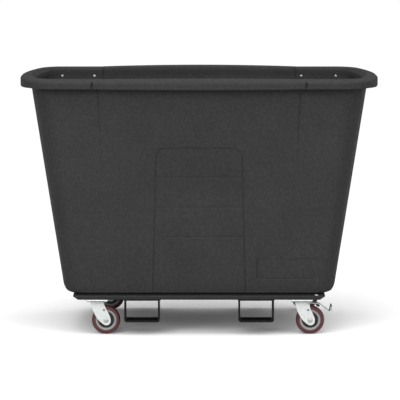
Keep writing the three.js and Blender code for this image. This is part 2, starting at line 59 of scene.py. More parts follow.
# ------------------------------------------------------------------ 2-D outlines
def smooth01(start, end, x):
    """Smooth step from 0 at start to 1 at end; start may be the larger."""
    t = np.clip((np.asarray(x, float) - start) / (end - start), 0, 1)
    return t * t * (3 - 2 * t)


def fillet(points, radii, closed=True, seg=5):
    """Rounds the corners of a polyline, one radius per point, seg steps per right angle."""
    points = [np.array(p, float) for p in points]
    count = len(points)
    out = []
    for i, corner in enumerate(points):
        if not closed and i in (0, count - 1):
            out.append(corner)
            continue
        back = points[i - 1] - corner
        ahead = points[(i + 1) % count] - corner
        back_len, ahead_len = np.linalg.norm(back), np.linalg.norm(ahead)
        back, ahead = back / back_len, ahead / ahead_len
        angle = math.acos(float(np.clip(back @ ahead, -1, 1)))
        radius = radii[i]
        if radius <= 0 or angle > math.radians(178) or angle < 1e-3:
            out.append(corner)
            continue
        trim = radius / math.tan(angle / 2)
        limit = 0.48 * min(back_len, ahead_len)
        if trim > limit:
            trim = limit
            radius = trim * math.tan(angle / 2)
        bisector = (back + ahead) / np.linalg.norm(back + ahead)
        centre = corner + bisector * (radius / math.sin(angle / 2))
        start = math.atan2(*(corner + back * trim - centre)[::-1])
        end = math.atan2(*(corner + ahead * trim - centre)[::-1])
        sweep = (end - start + math.pi) % (2 * math.pi) - math.pi
        steps = max(2, int(round(seg * abs(sweep) / QUARTER)) + 1)
        for k in range(steps + 1):
            a = start + sweep * k / steps
            out.append(centre + radius * np.array([math.cos(a), math.sin(a)]))
    clean = []
    for p in out:
        if not clean or np.linalg.norm(p - clean[-1]) > 1e-4:
            clean.append(p)
    if closed and np.linalg.norm(clean[0] - clean[-1]) < 1e-4:
        clean.pop()
    return np.array(clean)


def round_rect(x0, x1, y0, y1, r, seg):
    """Rectangle with the same number of points at every corner, whatever its size."""
    out = []
    corners = ((x1 - r, y1 - r, 0), (x0 + r, y1 - r, 90), (x0 + r, y0 + r, 180), (x1 - r, y0 + r, 270))
    for cx, cy, start in corners:
        for k in range(seg + 1):
            a = math.radians(start + 90 * k / seg)
            out.append((cx + r * math.cos(a), cy + r * math.sin(a)))
    return out


def circle(x, y, r, n):
    angles = [2 * math.pi * i / n for i in range(n)]
    return [(x + r * math.cos(a), y + r * math.sin(a)) for a in angles]


def inset(loop, distance):
    """Moves each point of a closed loop to the left of its direction of travel."""
    edge = np.roll(loop, -1, 0) - loop
    edge /= np.linalg.norm(edge, axis=1)[:, None]
    normal = np.stack([-edge[:, 1], edge[:, 0]], 1)
    mitre = normal + np.roll(normal, 1, 0)
    mitre /= np.linalg.norm(mitre, axis=1)[:, None]
    cosine = np.clip((mitre * normal).sum(1), 0.35, 1)
    return loop + mitre * (distance / cosine)[:, None]


def signed_area(loop):
    x, y = loop[:, 0], loop[:, 1]
    return float((x * np.roll(y, -1) - np.roll(x, -1) * y).sum() / 2)


# ------------------------------------------------------------------ solids
def shell(verts, faces):
    """Makes a solid of vertices and faces, with the faces turned to look outwards."""
    verts = np.array(verts, float)
    tris = np.array([(f[0], f[k], f[k + 1]) for f in faces for k in range(1, len(f) - 1)])
    centred = verts - verts.mean(0)
    a, b, c = (centred[tris[:, k]] for k in range(3))
    if np.einsum("ij,ij->i", a, np.cross(b, c)).sum() < 0:
        faces = [tuple(reversed(f)) for f in faces]
    return verts, [tuple(int(i) for i in f) for f in faces]


def join(*solids):
    verts, faces, count = [], [], 0
    for v, f in solids:
        verts.append(v)
        faces += [tuple(i + count for i in face) for face in f]
        count += len(v)
    return np.vstack(verts), faces


def moved(solid, offset):
    return solid[0] + np.array(offset, float), solid[1]


def swap_yz(solid):
    """Lays a solid made along Z along Y: (x, y, z) -> (x, z, y)."""
    return shell(solid[0][:, [0, 2, 1]], solid[1])


def bands(n, rows, base=0):
    """Quads between successive rings of n points."""
    faces = []
    for k in range(rows - 1):
        low, high = base + k * n, base + (k + 1) * n
        for i in range(n):
            j = (i + 1) % n
            faces.append((low + i, low + j, high + j, high + i))
    return faces


def loft(loops):
    """Capped skin over closed loops of equal length."""
    n, rows = len(loops[0]), len(loops)
    faces = bands(n, rows)
    faces.append(tuple(reversed(range(n))))
    faces.append(tuple(range((rows - 1) * n, rows * n)))
    return shell(np.vstack(loops), faces)


def lathe(profile, n=64, at=(0, 0, 0), along="Z"):
    """Body of revolution from (radius, height) points.

    A profile that starts on the axis also ends there, in poles; any other is a closed loop.
    """
    points = [(float(r), float(h)) for r, h in profile]
    poles = points[0][0] < 1e-6
    ringed = points[1:-1] if poles else points
    angles = np.arange(n) * 2 * math.pi / n
    verts = [(r * math.cos(a), r * math.sin(a), h) for r, h in ringed for a in angles]
    last = (len(ringed) - 1) * n
    faces = bands(n, len(ringed))
    if poles:
        pole = len(verts)
        verts += [(0, 0, points[0][1]), (0, 0, points[-1][1])]
    for i in range(n):
        j = (i + 1) % n
        if poles:
            faces += [(pole, j, i), (pole + 1, last + i, last + j)]
        else:
            faces.append((last + i, last + j, j, i))
    solid = shell(verts, faces)
    return moved(swap_yz(solid) if along == "Y" else solid, at)


def disc(radius, low, high, edge, n, seg=2, along="Z"):
    """Solid washer with rounded edges."""
    corners = [(0, low), (radius, low), (radius, high), (0, high)]
    return lathe(fillet(corners, [0, edge, edge, 0], closed=False, seg=seg), n, along=along)


def y_pin(radius, half, n, at=(0, 0, 0)):
    """Plain cylinder along Y."""
    return lathe([(0, -half), (radius, -half), (radius, half), (0, half)], n, at=at, along="Y")


def bolt_tip(radius, low, high, along="Z"):
    """Bolt end seen above its nut: widens from the axis to the radius, then a chamfer."""
    chamfer = 0.7
    profile = [(0, low), (radius, high - chamfer), (radius - chamfer * 0.8, high), (0, high)]
    return lathe(profile, 32, along=along)


def slab(outline, low, high, bevel=0.6, holes=(), steps=2):
    """Plate between two heights with rounded edges and through holes given as loops."""
    outline = np.array(outline, float)
    loops = [outline[::-1] if signed_area(outline) < 0 else outline]
    for hole in holes:
        hole = np.array(hole, float)
        loops.append(hole[::-1] if signed_area(hole) > 0 else hole)
    angles = [QUARTER * k / steps for k in range(steps + 1)]
    levels = [(bevel * (1 - math.sin(a)), low + bevel * (1 - math.cos(a))) for a in angles]
    levels += [(bevel * (1 - math.sin(a)), high - bevel * (1 - math.cos(a)))
               for a in reversed(angles)]
    verts, faces, bottoms, tops = [], [], [], []
    for loop in loops:
        n, base = len(loop), len(verts)
        for distance, height in levels:
            verts += [(x, y, height) for x, y in inset(loop, distance)]
        faces += bands(n, len(levels), base)
        bottoms.append(list(range(base, base + n)))
        tops.append(list(range(len(verts) - n, len(verts))))
    for group, flip in ((bottoms, True), (tops, False)):
        flat = [i for ring in group for i in ring]
        if len(group) == 1:
            faces.append(tuple(reversed(flat)) if flip else tuple(flat))
            continue
        rings = [[Vector((verts[i][0], verts[i][1], 0)) for i in ring] for ring in group]
        for tri in tessellate_polygon(rings):
            tri = [flat[i] for i in tri]
            a, b, c = (np.array(verts[i][:2]) for i in tri)
            turn = (b[0] - a[0]) * (c[1] - a[1]) - (b[1] - a[1]) * (c[0] - a[0])
            faces.append(tuple(tri[::-1] if (turn < 0) != flip else tri))
    return shell(verts, faces)


def xz_slab(outline, y0, y1, bevel=0.6, holes=(), steps=2):
    """The same plate with its outline in XZ and its thickness along Y."""
    return swap_yz(slab(outline, y0, y1, bevel, holes, steps))


def hexagon(flats, low, high, chamfer_low=False):
    """Hexagonal prism along Z, flats apart, chamfered at the high end or the low one."""
    n = 48
    angles = np.arange(n) * 2 * math.pi / n
    full = flats / 2 / np.cos((angles + math.pi / 6) % (math.pi / 3) - math.pi / 6)
    cut = np.full(n, flats / 2 * 0.965)
    drop = (full - cut) * math.tan(math.radians(30))

    def ring(radius, height):
        height = np.broadcast_to(height, (n,))
        return np.stack([radius * np.cos(angles), radius * np.sin(angles), height], 1)

    if chamfer_low:
        return loft([ring(cut, low), ring(full, low + drop), ring(full, high)])
    return loft([ring(full, low), ring(full, high - drop), ring(cut, high)])


def sheet(path, spans, thick):
    """Bent sheet. path: (y, z, normal y, normal z) at mid thickness; spans: (x0, x1) per point."""
    columns = 9
    loops = []
    for (y, z, normal_y, normal_z), (x0, x1) in zip(path, spans):
        width = x1 - x0
        edge = min(1.0, width * 0.2, thick * 0.45)
        left, right, face = x0 + edge, x1 - edge, thick / 2
        row = [left + (width - 2 * edge) * k / (columns - 1) for k in range(columns)]

        def arc(cx, cq, degrees):
            return [(cx + edge * math.cos(math.radians(a)), cq + edge * math.sin(math.radians(a)))
                    for a in degrees]

        section = [(x, face) for x in row]
        section += arc(right, face - edge, (67.5, 45, 22.5, 0))
        section += arc(right, edge - face, (0, -22.5, -45, -67.5))
        section += [(x, -face) for x in reversed(row)]
        section += arc(left, edge - face, (-112.5, -135, -157.5, -180))
        section += arc(left, face - edge, (180, 157.5, 135, 112.5))
        loops.append(np.array([(x, y + normal_y * q, z + normal_z * q) for x, q in section]))
    return loops


def bead(start, end, radius):
    """Rippled weld bead along a straight line."""
    n, ripple, half_pitch = 10, 0.28, 1.2
    start, end = np.array(start, float), np.array(end, float)
    steps = max(2, int(np.linalg.norm(end - start) / half_pitch))
    path = [start + (end - start) * k / steps for k in range(steps)] + [end]
    last = len(path) - 1
    loops = []
    for i, p in enumerate(path):
        along = path[min(i + 1, last)] - path[max(i - 1, 0)]
        along /= np.linalg.norm(along)
        up = np.array([0, 0, 1.0]) if abs(along[2]) < 0.9 else np.array([1.0, 0, 0])
        u = np.cross(along, up)
        u /= np.linalg.norm(u)
        w = np.cross(u, along)
        taper = {0: 0.45, 1: 0.85}.get(min(i, last - i), 1)
        r = radius * taper * (1 + ripple * (i % 2) + rng.uniform(-0.06, 0.06))
        loops.append(np.array([p + r * (math.cos(a) * u + math.sin(a) * w)
                               for a in np.arange(n) * 2 * math.pi / n]))
    return loft(loops)


def shade_smooth(mesh, sharp_deg):
    mesh.polygons.foreach_set("use_smooth", [True] * len(mesh.polygons))
    mesh.update()
    mesh.set_sharp_from_angle(angle=math.radians(sharp_deg))


def add_weighted_normals(obj):
    modifier = obj.modifiers.new("Normals", "WEIGHTED_NORMAL")
    modifier.keep_sharp = True
    modifier.weight = 60


def mesh_object(name, solid):
    mesh = bpy.data.meshes.new(name)
    mesh.from_pydata((np.array(solid[0], float) * MM).tolist(), [], solid[1])
    obj = bpy.data.objects.new(name, mesh)
    bpy.context.scene.collection.objects.link(obj)
    return obj


def piece(name, solid, material, body, node, slot, sharp=38.0, weighted=True):
    """Object that rides on a body and, where node is given, replaces that CAD node."""
    obj = mesh_object(name, solid)
    obj.data.validate(clean_customdata=False)
    shade_smooth(obj.data, sharp)
    obj.data.materials.append(material)
    if weighted:
        add_weighted_normals(obj)
    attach(obj, body)
    if node:
        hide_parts(node)
    return obj


# ------------------------------------------------------------------ materials
def grey(v):
    return (v, v, v)


class Nodes:
    """Builds a Principled material whose textures use object coordinates."""

    def __init__(self, name):
        self.mat = bpy.data.materials.new(name)
        self.mat.use_nodes = True
        self.tree = self.mat.node_tree
        self.bsdf = self.tree.nodes["Principled BSDF"]
        self.coords = self.tree.nodes.new("ShaderNodeTexCoord").outputs["Object"]

    def put(self, socket, value):
        """Sets a number or an RGB colour, or links an output."""
        if isinstance(value, (int, float)):
            socket.default_value = value
        elif isinstance(value, tuple):
            socket.default_value = value + (1,)
        else:
            self.tree.links.new(value, socket)

    def noise(self, scale, detail=4.0, rough=0.5, stretch=None):
        node = self.tree.nodes.new("ShaderNodeTexNoise")
        node.inputs["Scale"].default_value = scale
        node.inputs["Detail"].default_value = detail
        node.inputs["Roughness"].default_value = rough
        vector = self.coords
        if stretch:
            mapping = self.tree.nodes.new("ShaderNodeMapping")
            mapping.inputs["Scale"].default_value = stretch
            self.tree.links.new(vector, mapping.inputs["Vector"])
            vector = mapping.outputs["Vector"]
        self.tree.links.new(vector, node.inputs["Vector"])
        return node.outputs["Fac"]

    def voronoi(self, scale):
        node = self.tree.nodes.new("ShaderNodeTexVoronoi")
        node.inputs["Scale"].default_value = scale
        self.tree.links.new(self.coords, node.inputs["Vector"])
        return node.outputs["Distance"]

    def remap(self, fac, span=(0.3, 0.7), to=(0, 1)):
        node = self.tree.nodes.new("ShaderNodeMapRange")
        node.inputs["From Min"].default_value = span[0]
        node.inputs["From Max"].default_value = span[1]
        node.inputs["To Min"].default_value = to[0]
        node.inputs["To Max"].default_value = to[1]
        self.tree.links.new(fac, node.inputs["Value"])
        return node.outputs["Result"]

    def mix(self, fac, a, b):
        node = self.tree.nodes.new("ShaderNodeMix")
        node.data_type = "RGBA"
        self.put(node.inputs[0], fac)
        self.put(node.inputs[6], a)
        self.put(node.inputs[7], b)
        return node.outputs[2]

    def math(self, operation, a, b):
        node = self.tree.nodes.new("ShaderNodeMath")
        node.operation = operation
        self.put(node.inputs[0], a)
        self.put(node.inputs[1], b)
        return node.outputs[0]

    def bump(self, height, strength, depth):
        """Bump of a depth in metres."""
        node = self.tree.nodes.new("ShaderNodeBump")
        node.inputs["Strength"].default_value = strength
        node.inputs["Distance"].default_value = depth
        self.tree.links.new(height, node.inputs["Height"])
        self.tree.links.new(node.outputs["Normal"], self.bsdf.inputs["Normal"])

    def finish(self, **inputs):
        for key, value in inputs.items():
            self.put(self.bsdf.inputs[key.replace("_", " ")], value)
        return self.mat


def tub_plastic():
    """Dark grey, clouded and speckled, with dark mottling and a few pale scuffs."""
    m = Nodes("tub_plastic")
    cloud = m.noise(scale=7.0, detail=3.0, rough=0.55)
    speck = m.noise(scale=210.0, detail=2.0, rough=0.6)
    grain = m.noise(scale=950.0, detail=3.0, rough=0.6)
    base = m.mix(m.remap(cloud), a=(0.0335, 0.0335, 0.0340), b=(0.0400, 0.0398, 0.0397))
    base = m.mix(m.remap(speck, span=(0.35, 0.7), to=(0, 0.6)), a=base, b=grey(0.045))
    mottle = m.remap(m.noise(scale=85.0, detail=2.0), span=(0.38, 0.66), to=(0.35, 0))
    base = m.mix(mottle, a=base, b=(0.016, 0.016, 0.0165))
    scuff = m.noise(scale=26.0, detail=5.0, rough=0.7, stretch=(1, 1, 5))
    base = m.mix(m.remap(scuff, span=(0.66, 0.78), to=(0, 0.16)), a=base, b=grey(0.10))
    rough = m.remap(m.noise(scale=60.0, detail=3.0), to=(0.60, 0.72))
    height = m.math("ADD", m.math("MULTIPLY", grain, 0.5), m.math("MULTIPLY", speck, 0.5))
    m.bump(height, strength=0.5, depth=0.0007)
    return m.finish(Base_Color=base, Roughness=rough, Specular_IOR_Level=0.18)


def black_paint(name, tone, specular):
    """Black paint with pale chips; tone scales its brightness and the chips' strength."""
    m = Nodes(name)
    shade = m.remap(m.noise(scale=35.0, detail=3.0), span=(0.35, 0.7))
    dark = (0.0105 * tone, 0.0105 * tone, 0.011 * tone)
    base = m.mix(shade, a=dark, b=(0.015 * tone, 0.015 * tone, 0.0155 * tone))
    chips = m.noise(scale=140.0, rough=0.7)
    base = m.mix(m.remap(chips, span=(0.70, 0.78), to=(0, 0.35 * tone)),
                 a=base, b=(0.09, 0.088, 0.085))
    m.bump(m.noise(scale=420.0, detail=2.0), strength=0.12, depth=0.0004)
    rough = m.remap(m.noise(scale=50.0), to=(0.36, 0.50))
    return m.finish(Base_Color=base, Roughness=rough, Specular_IOR_Level=specular)


def zinc(name, tint, rough, metal):
    m = Nodes(name)
    spangle = m.voronoi(scale=160.0)
    base = m.mix(m.remap(m.noise(scale=55.0)), a=tint, b=tuple(min(1, c * 1.08) for c in tint))
    base = m.mix(m.remap(spangle, span=(0.0, 0.8), to=(0, 0.035)),
                 a=base, b=tuple(c * 0.80 for c in tint))
    m.bump(m.noise(scale=500.0, detail=2.0), strength=0.06, depth=0.0002)
    return m.finish(Base_Color=base, Metallic=metal,
                    Roughness=m.remap(m.noise(scale=90.0), to=rough))


def pedal_steel():
    m = Nodes("pedal_steel")
    brush = m.noise(scale=260.0, rough=0.6, stretch=(0.12, 2.2, 1))
    base = m.mix(m.remap(brush), a=(0.86, 0.87, 0.88), b=(0.94, 0.95, 0.95))
    m.bump(brush, strength=0.08, depth=0.0002)
    return m.finish(Base_Color=base, Metallic=0.45, Roughness=m.remap(brush, to=(0.22, 0.34)))


def core_plastic():
    m = Nodes("core_plastic")
    shade = m.remap(m.noise(scale=80.0, detail=3.0))
    base = m.mix(shade, a=(0.31, 0.290, 0.29), b=(0.37, 0.345, 0.35))
    m.bump(m.noise(scale=700.0, detail=2.0), strength=0.08, depth=0.0003)
    return m.finish(Base_Color=base, Roughness=m.remap(m.noise(scale=60.0), to=(0.34, 0.46)))


def tread_urethane():
    """Dark red with paler dust, under a thin coat."""
    m = Nodes("tread_urethane")
    base = m.mix(m.remap(m.noise(scale=30.0)), a=(0.078, 0.022, 0.027), b=(0.105, 0.032, 0.036))
    dust = m.noise(scale=240.0, detail=3.0, rough=0.7)
    base = m.mix(m.remap(dust, span=(0.62, 0.8), to=(0, 0.35)), a=base, b=(0.17, 0.09, 0.085))
    m.bump(m.noise(scale=600.0, detail=2.0), strength=0.08, depth=0.0003)
    return m.finish(Base_Color=base, Roughness=m.remap(m.noise(scale=70.0), to=(0.30, 0.46)),
                    Coat_Weight=0.15, Coat_Roughness=0.25)


def plain_dark(name, scale, dark, light, grain, detail, strength, depth, rough):
    """Near-black surface: shade noise of one scale, bump noise of another (grain)."""
    m = Nodes(name)
    base = m.mix(m.remap(m.noise(scale=scale, detail=3.0)), a=dark, b=light)
    m.bump(m.noise(scale=grain, detail=detail), strength=strength, depth=depth)
    return m.finish(Base_Color=base, Roughness=rough)


TUB_PLASTIC = tub_plastic()
PAINT = black_paint("black_paint", tone=1.0, specular=0.42)
RUBBER = plain_dark("shoe_rubber", scale=60.0, dark=(0.012, 0.011, 0.012),
                    light=(0.020, 0.018, 0.019), grain=800.0, detail=3.0,
                    strength=0.35, depth=0.0004, rough=0.72)
# Darker copy of the black paint for the fork straps: painted shade for the shadow under the frame.
SHADED_STRAP_PAINT = black_paint("strap_painted_shade", tone=0.42, specular=0.22)
ZINC = zinc("zinc_plate", tint=(0.84, 0.87, 0.86), rough=(0.24, 0.38), metal=0.35)
HARDWARE = zinc("zinc_hardware", tint=(0.62, 0.63, 0.61), rough=(0.26, 0.42), metal=0.7)
# Lighter, nearly non-metallic copy of the zinc for the caster plates: painted light, making up for the
# shadow the rail casts on their front edges.
LIT_PLATE_ZINC = zinc("zinc_plate_painted_light", tint=(0.93, 0.955, 0.945), rough=(0.30, 0.44), metal=0.05)
PEDAL_STEEL = pedal_steel()
CORE_PLASTIC = core_plastic()
TREAD = tread_urethane()
# Near-black rings laid on the wheel webs: painted shade for the shadow in the wheel's recess.
RECESS_SHADE_DARK = plain_dark("recess_painted_shade", scale=60.0, dark=(0.012, 0.015, 0.014),
                           light=(0.018, 0.022, 0.020), grain=500.0, detail=2.0,
                           strength=0.1, depth=0.0003, rough=0.5)
WELD_PAINT = plain_dark("weld_paint", scale=200.0, dark=(0.010, 0.010, 0.0105),
                        light=(0.022, 0.021, 0.020), grain=900.0, detail=3.0,
                        strength=0.3, depth=0.0004, rough=0.42)

# ------------------------------------------------------------------ tub
TUB_Z, RIM_TOP, WALL = 181.3, 1147.0, 6.0
FLOOR = TUB_Z + WALL
SKIRT_Z, RIM_OUT = 1091.0, 49.0                  # lower edge of the rim skirt, its reach
FOOT_HALF_L, TAPER_L = 616.0, 0.158              # half length at the foot, gain per mm of height
FOOT_HALF_W, TAPER_W = 356.0, 0.0164
BOW_FOOT, BOW_TOP = 30.0, 50.0                   # how far the end walls curve back at the corners
CORNER_FOOT, CORNER_TOP = 70.0, 85.0
FOOT_SIDE, FOOT_END, FOOT_IN = 5.2, 22.0, 12.0   # foot rounding: sides, ends, inside
STEP_X, STEP_LEAN, STEP_H = 444.0, 0.0413, 8.0   # the proud middle of each side wall
SIDE_BOW = 36.0
PROUD_Z0, WALL_TOP = 650.0, 1085.0               # the middle grows proud between these heights
RISE = 5.0                                       # rim drop away from the middle of the sides
NOTCH_X, NOTCH_D = 473.0, 9.0                    # shallow upright groove in the skirt
RECESS_Z0, RECESS_Z1 = 214.0, 836.0              # sunk middle of each side: heights, half widths
RECESS_HALF_TOP, RECESS_HALF_FOOT = 192.0, 208.0
RECESS_R, RECESS_D = 46.0, 3.0
PANEL_X0, PANEL_X1, PANEL_Z0, PANEL_Z1 = 259.0, 525.0, 244.0, 336.0   # low sunk panel
GROOVES = (302.0, 435.0, 568.0, 702.0)           # heights of the level lines in the recess
ARC_N = 18


def half_length(z):
    return FOOT_HALF_L + TAPER_L * (z - TUB_Z)


def half_width(z):
    return FOOT_HALF_W + TAPER_W * (z - TUB_Z)


def lean(z):
    """Scale on the step's and notch's places along X, which draw in towards the foot."""
    return 1 - STEP_LEAN * (WALL_TOP - min(z, WALL_TOP)) / STEP_X


def recess_half(z):
    t = np.clip((RECESS_Z1 - z) / (RECESS_Z1 - RECESS_Z0), 0, 1)
    return RECESS_HALF_TOP + (RECESS_HALF_FOOT - RECESS_HALF_TOP) * t


def middle(u, z, soft):
    """How far the middle of a side stands proud at u along it; soft widens the step."""
    a = np.abs(u)
    if soft:
        edge = 1 - smooth01(STEP_X - 34, STEP_X + 24, a)
    else:
        edge = 1 - smooth01(STEP_X - 1, STEP_X + 8, a)
    proud = min(1.0, max(0.0, (z - PROUD_Z0) / (WALL_TOP - PROUD_Z0)))
    return proud * edge * (STEP_H + SIDE_BOW * (1 - np.minimum(1, (a / STEP_X) ** 2)))


def between(a, b, fractions):
    return [a + (b - a) * f for f in fractions]


def around(centre, offsets):
    return [centre + d for d in offsets]


def side_columns(z, end):
    """X of the vertex columns from mid-side to the corner, dense where the relief turns."""
    recess, step, notch = recess_half(z), STEP_X * lean(z), NOTCH_X * lean(z)
    panel_end = min(PANEL_X1, end - 12)
    panel_edge = (-5, -3, -1.5, 0, 1.5, 3, 5)
    x = between(0, recess, (0, .14, .28, .42, .55, .66))
    x += around(recess, (-54, -50, -46, -42, -38, -34, -30, -26, -22, -18, -14, -11, -8, -6,
                         -4.5, -3, -2, -1, 0, 1, 2.5, 5))
    x += between(recess + 5, PANEL_X0 - 7, (.4, .75))
    x += around(PANEL_X0, panel_edge)
    x += between(PANEL_X0 + 5, step - 5, (.17, .34, .51, .68, .84))
    x += around(step, (-4, -2, 0, 1.5, 3, 4.5, 6, 8, 10))
    x += around(notch, (-8, -6, -5, -4, -3, -1.5, 0, 1.5, 3, 4, 5, 6, 8))
    x += between(notch + 8, panel_end - 5, (.15, .35, .6, .8))
    x += around(panel_end, panel_edge)
    x += between(panel_end + 5, end, (.33, .66))
    return np.array(x)


def foot_round(offset, lift, radius):
    """Draw-in of the outer wall at a height above the foot."""
    if offset < 0 or not 0 <= lift < radius:
        return 0.0
    return radius - math.sqrt(radius ** 2 - (radius - lift) ** 2)


def relief_depth(x, z, front):
    """Depth of the side relief: recess, its level grooves and the panel."""
    def line(distance, width):
        return np.exp(-(distance / width) ** 2)

    a = np.abs(x)
    half = recess_half(z)
    d = np.minimum(half - a, RECESS_Z1 - z)
    centre_x, centre_z = half - RECESS_R, RECESS_Z1 - RECESS_R
    corner = (a > centre_x) & (z > centre_z)
    d = np.where(corner, RECESS_R - np.hypot(a - centre_x, z - centre_z), d)
    out = RECESS_D * smooth01(-0.5, 2.5, d) + 1.6 * line(d - 2.2, 2.0)
    for g in GROOVES:
        out = out + (0.5 if g < 350 else 1.6) * line(z - g, 1.9) * smooth01(2, 5, d)
    panel_x = np.where(front, x, -x)               # panel at +X on the front, -X on the rear
    in_x = np.minimum(panel_x - PANEL_X0, PANEL_X1 - panel_x)
    in_z = np.minimum(z - PANEL_Z0, PANEL_Z1 - z)
    inside = np.minimum(in_x, in_z)
    out = out + 1.0 * smooth01(-0.8, 0.8, inside) + 0.7 * line(inside - 0.5, 1.3)
    return out + 3.0 * line(in_x, 2.4) * smooth01(-3, 3, in_z)


def tub_ring(offset, z, shape_z=None, notch=0.0, relief=False, rise=0.0):
    """Level loop round the tub, offset outwards from the outer wall as it is at shape_z."""
    shape_z = z if shape_z is None else shape_z
    up = min(1.0, max(0.0, (shape_z - TUB_Z) / (SKIRT_Z - TUB_Z)))
    half_l = half_length(shape_z) + offset - foot_round(offset, z - TUB_Z, FOOT_END)
    half_w = half_width(shape_z) + offset - foot_round(offset, z - TUB_Z, FOOT_SIDE)
    corner = CORNER_FOOT + (CORNER_TOP - CORNER_FOOT) * up + offset
    bow = BOW_FOOT + (BOW_TOP - BOW_FOOT) * up + max(0.0, offset) * 0.35
    skirt = offset > 30

    # one quarter of the loop: side wall, corner arc, end wall
    side_x = side_columns(shape_z, half_l - corner)
    u = side_x / lean(shape_z)
    side_y = half_w + middle(u, shape_z, skirt)
    if notch:
        from_notch = np.abs(u - NOTCH_X)
        groove = 1.15 * (1 - smooth01(0.0, 6.0, from_notch))
        side_y = side_y - notch * NOTCH_D * (groove - 0.15 * (1 - smooth01(8, 20, from_notch)))
    side_z = z + rise * RISE * (np.maximum(0, 1 - (u / (STEP_X + 6)) ** 2) - 1)
    turn = np.arange(ARC_N + 1) / ARC_N * np.pi / 2
    a = np.pi / 2 - turn
    end_y = (half_w - corner) * np.array([.85, .7, .55, .4, .25, .1, 0.0])
    rest = len(a) + len(end_y)
    X = np.concatenate([side_x, half_l - corner + corner * np.cos(a),
                        np.full(len(end_y), half_l)])
    Y = np.concatenate([side_y, half_w - corner + corner * np.sin(a), end_y])
    Z = np.concatenate([side_z, np.full(rest, z - rise * RISE)])
    t = np.clip((X - 482) / (half_l - 482), 0, 1)
    X = X - bow * t * (Y / half_w) ** 2
    if skirt and z < 1112:                         # skirt edge sits higher along the sides
        Z = Z + 7.0 * smooth01(1112, 1098, z) * smooth01(0.35, 0.85, Y / half_w)
    if offset < 0 and z > 1040:                    # end walls roll in under the rim
        share = np.concatenate([np.zeros(len(side_x)), 1 - np.cos(turn), np.ones(len(end_y))])
        X = X - 16.0 * smooth01(1147, 1108, z) * smooth01(1040, 1100, z) * share
    on_side = np.concatenate([np.ones(len(side_x)), np.zeros(rest)])
    quarter = np.stack([X, Y, Z, on_side], 1)
    loop = np.vstack([quarter, quarter[:-1][::-1] * (1, -1, 1, 1),
                      quarter[1:] * (-1, -1, 1, 1), quarter[1:-1][::-1] * (-1, 1, 1, 1)])
    if relief:
        x, y, height = loop[:, 0], loop[:, 1], loop[:, 2]
        loop[:, 1] -= np.sign(y) * relief_depth(x, height, y < 0) * loop[:, 3]
    return loop[:, :3]


def groove_rows(z):
    return around(z, (-4.2, -2.8, -1.8, -0.9, 0, 0.9, 1.8, 2.8, 4.2))


# Heights of the outer vertex rows, dense at grooves, panel edges and recess top
OUTER_ROWS = around(TUB_Z, (0, 0.15, 0.6, 1.3, 2.3, 3.6, 5.2, 7.2, 9.6, 12.6, 16.2, 20.0))
OUTER_ROWS += [202, 203, 204, 205, 206.5, 209, 216, 228, 238, 242, 243.2, 244, 244.8, 246,
               256, 276, 292]
OUTER_ROWS += groove_rows(GROOVES[0])
OUTER_ROWS += [316, 328, 334, 335.2, 336, 336.8, 338, 350, 375, 400, 422]
OUTER_ROWS += groove_rows(GROOVES[1]) + [450, 475, 505, 535, 556]
OUTER_ROWS += groove_rows(GROOVES[2]) + [582, 610, 640, 665, 690]
OUTER_ROWS += groove_rows(GROOVES[3]) + [718, 740, 762, 778]
OUTER_ROWS += list(np.arange(786, 826, 3.6))
OUTER_ROWS += [826, 828, 829.5, 831, 832.2, 833.2, 834.2, 835.2, 836.2, 837.2, 839, 843, 852, 870]
OUTER_ROWS += list(np.arange(895, 1084, 19.0))
INNER_ROWS = (1060, 1030, 990, 940, 880, 820, 760, 700, 655, 640, 600, 520, 440, 360, 290, 240,
              215, FLOOR + FOOT_IN)
# Rim section from outer wall over to inner wall: (offset outwards, height, corner radius)
RIM_SECTION = (
    (0, WALL_TOP, 0), (3, 1121, 12), (20, 1129, 10), (41, 1116, 9), (43, SKIRT_Z, 2.2),
    (RIM_OUT, SKIRT_Z, 2.6), (RIM_OUT, 1124, 9), (43.5, 1137, 9), (22, 1142.5, 24),
    (2, RIM_TOP, 8), (-7, 1140, 9), (-9, 1124, 30), (-WALL - 0.5, 1100, 30), (-WALL, WALL_TOP, 0),
)


def notch_share(offset, z, hidden_face):
    """Strength of the notch at a point of the rim section; hidden_face is behind the skirt."""
    if offset <= 30 or z >= 1137 or (z > 1093 and offset < 44 and hidden_face):
        return 0.0
    share = float(smooth01(1138, 1128, z)) if z > 1100 else 1.0
    if z < 1094:
        share *= float(smooth01(44.0, 46.5, offset))
    return share


def tub_mesh():
    rings = [tub_ring(0.0, z, relief=True) for z in OUTER_ROWS]
    section = fillet([p[:2] for p in RIM_SECTION], [p[2] for p in RIM_SECTION],
                     closed=False, seg=6)
    skirt_edge = int(np.argmin(np.abs(section[:, 0] - RIM_OUT) + np.abs(section[:, 1] - SKIRT_Z)))
    for i, (offset, z) in enumerate(section):
        rings.append(tub_ring(offset, z, shape_z=SKIRT_Z if z > 1086 else z,
                              notch=notch_share(offset, z, i < skirt_edge),
                              rise=float(smooth01(1122, 1136, z))))
    rings += [tub_ring(-WALL, z) for z in INNER_ROWS]
    for k in range(1, 7):                          # inner fillet down to the floor
        a = QUARTER * k / 6
        rings.append(tub_ring(-WALL - FOOT_IN * (1 - math.cos(a)),
                              FLOOR + FOOT_IN * (1 - math.sin(a))))
    return loft(rings)


piece("tub_shell", tub_mesh(), TUB_PLASTIC, "cart", "tub", "tub_plastic", sharp=60, weighted=False)

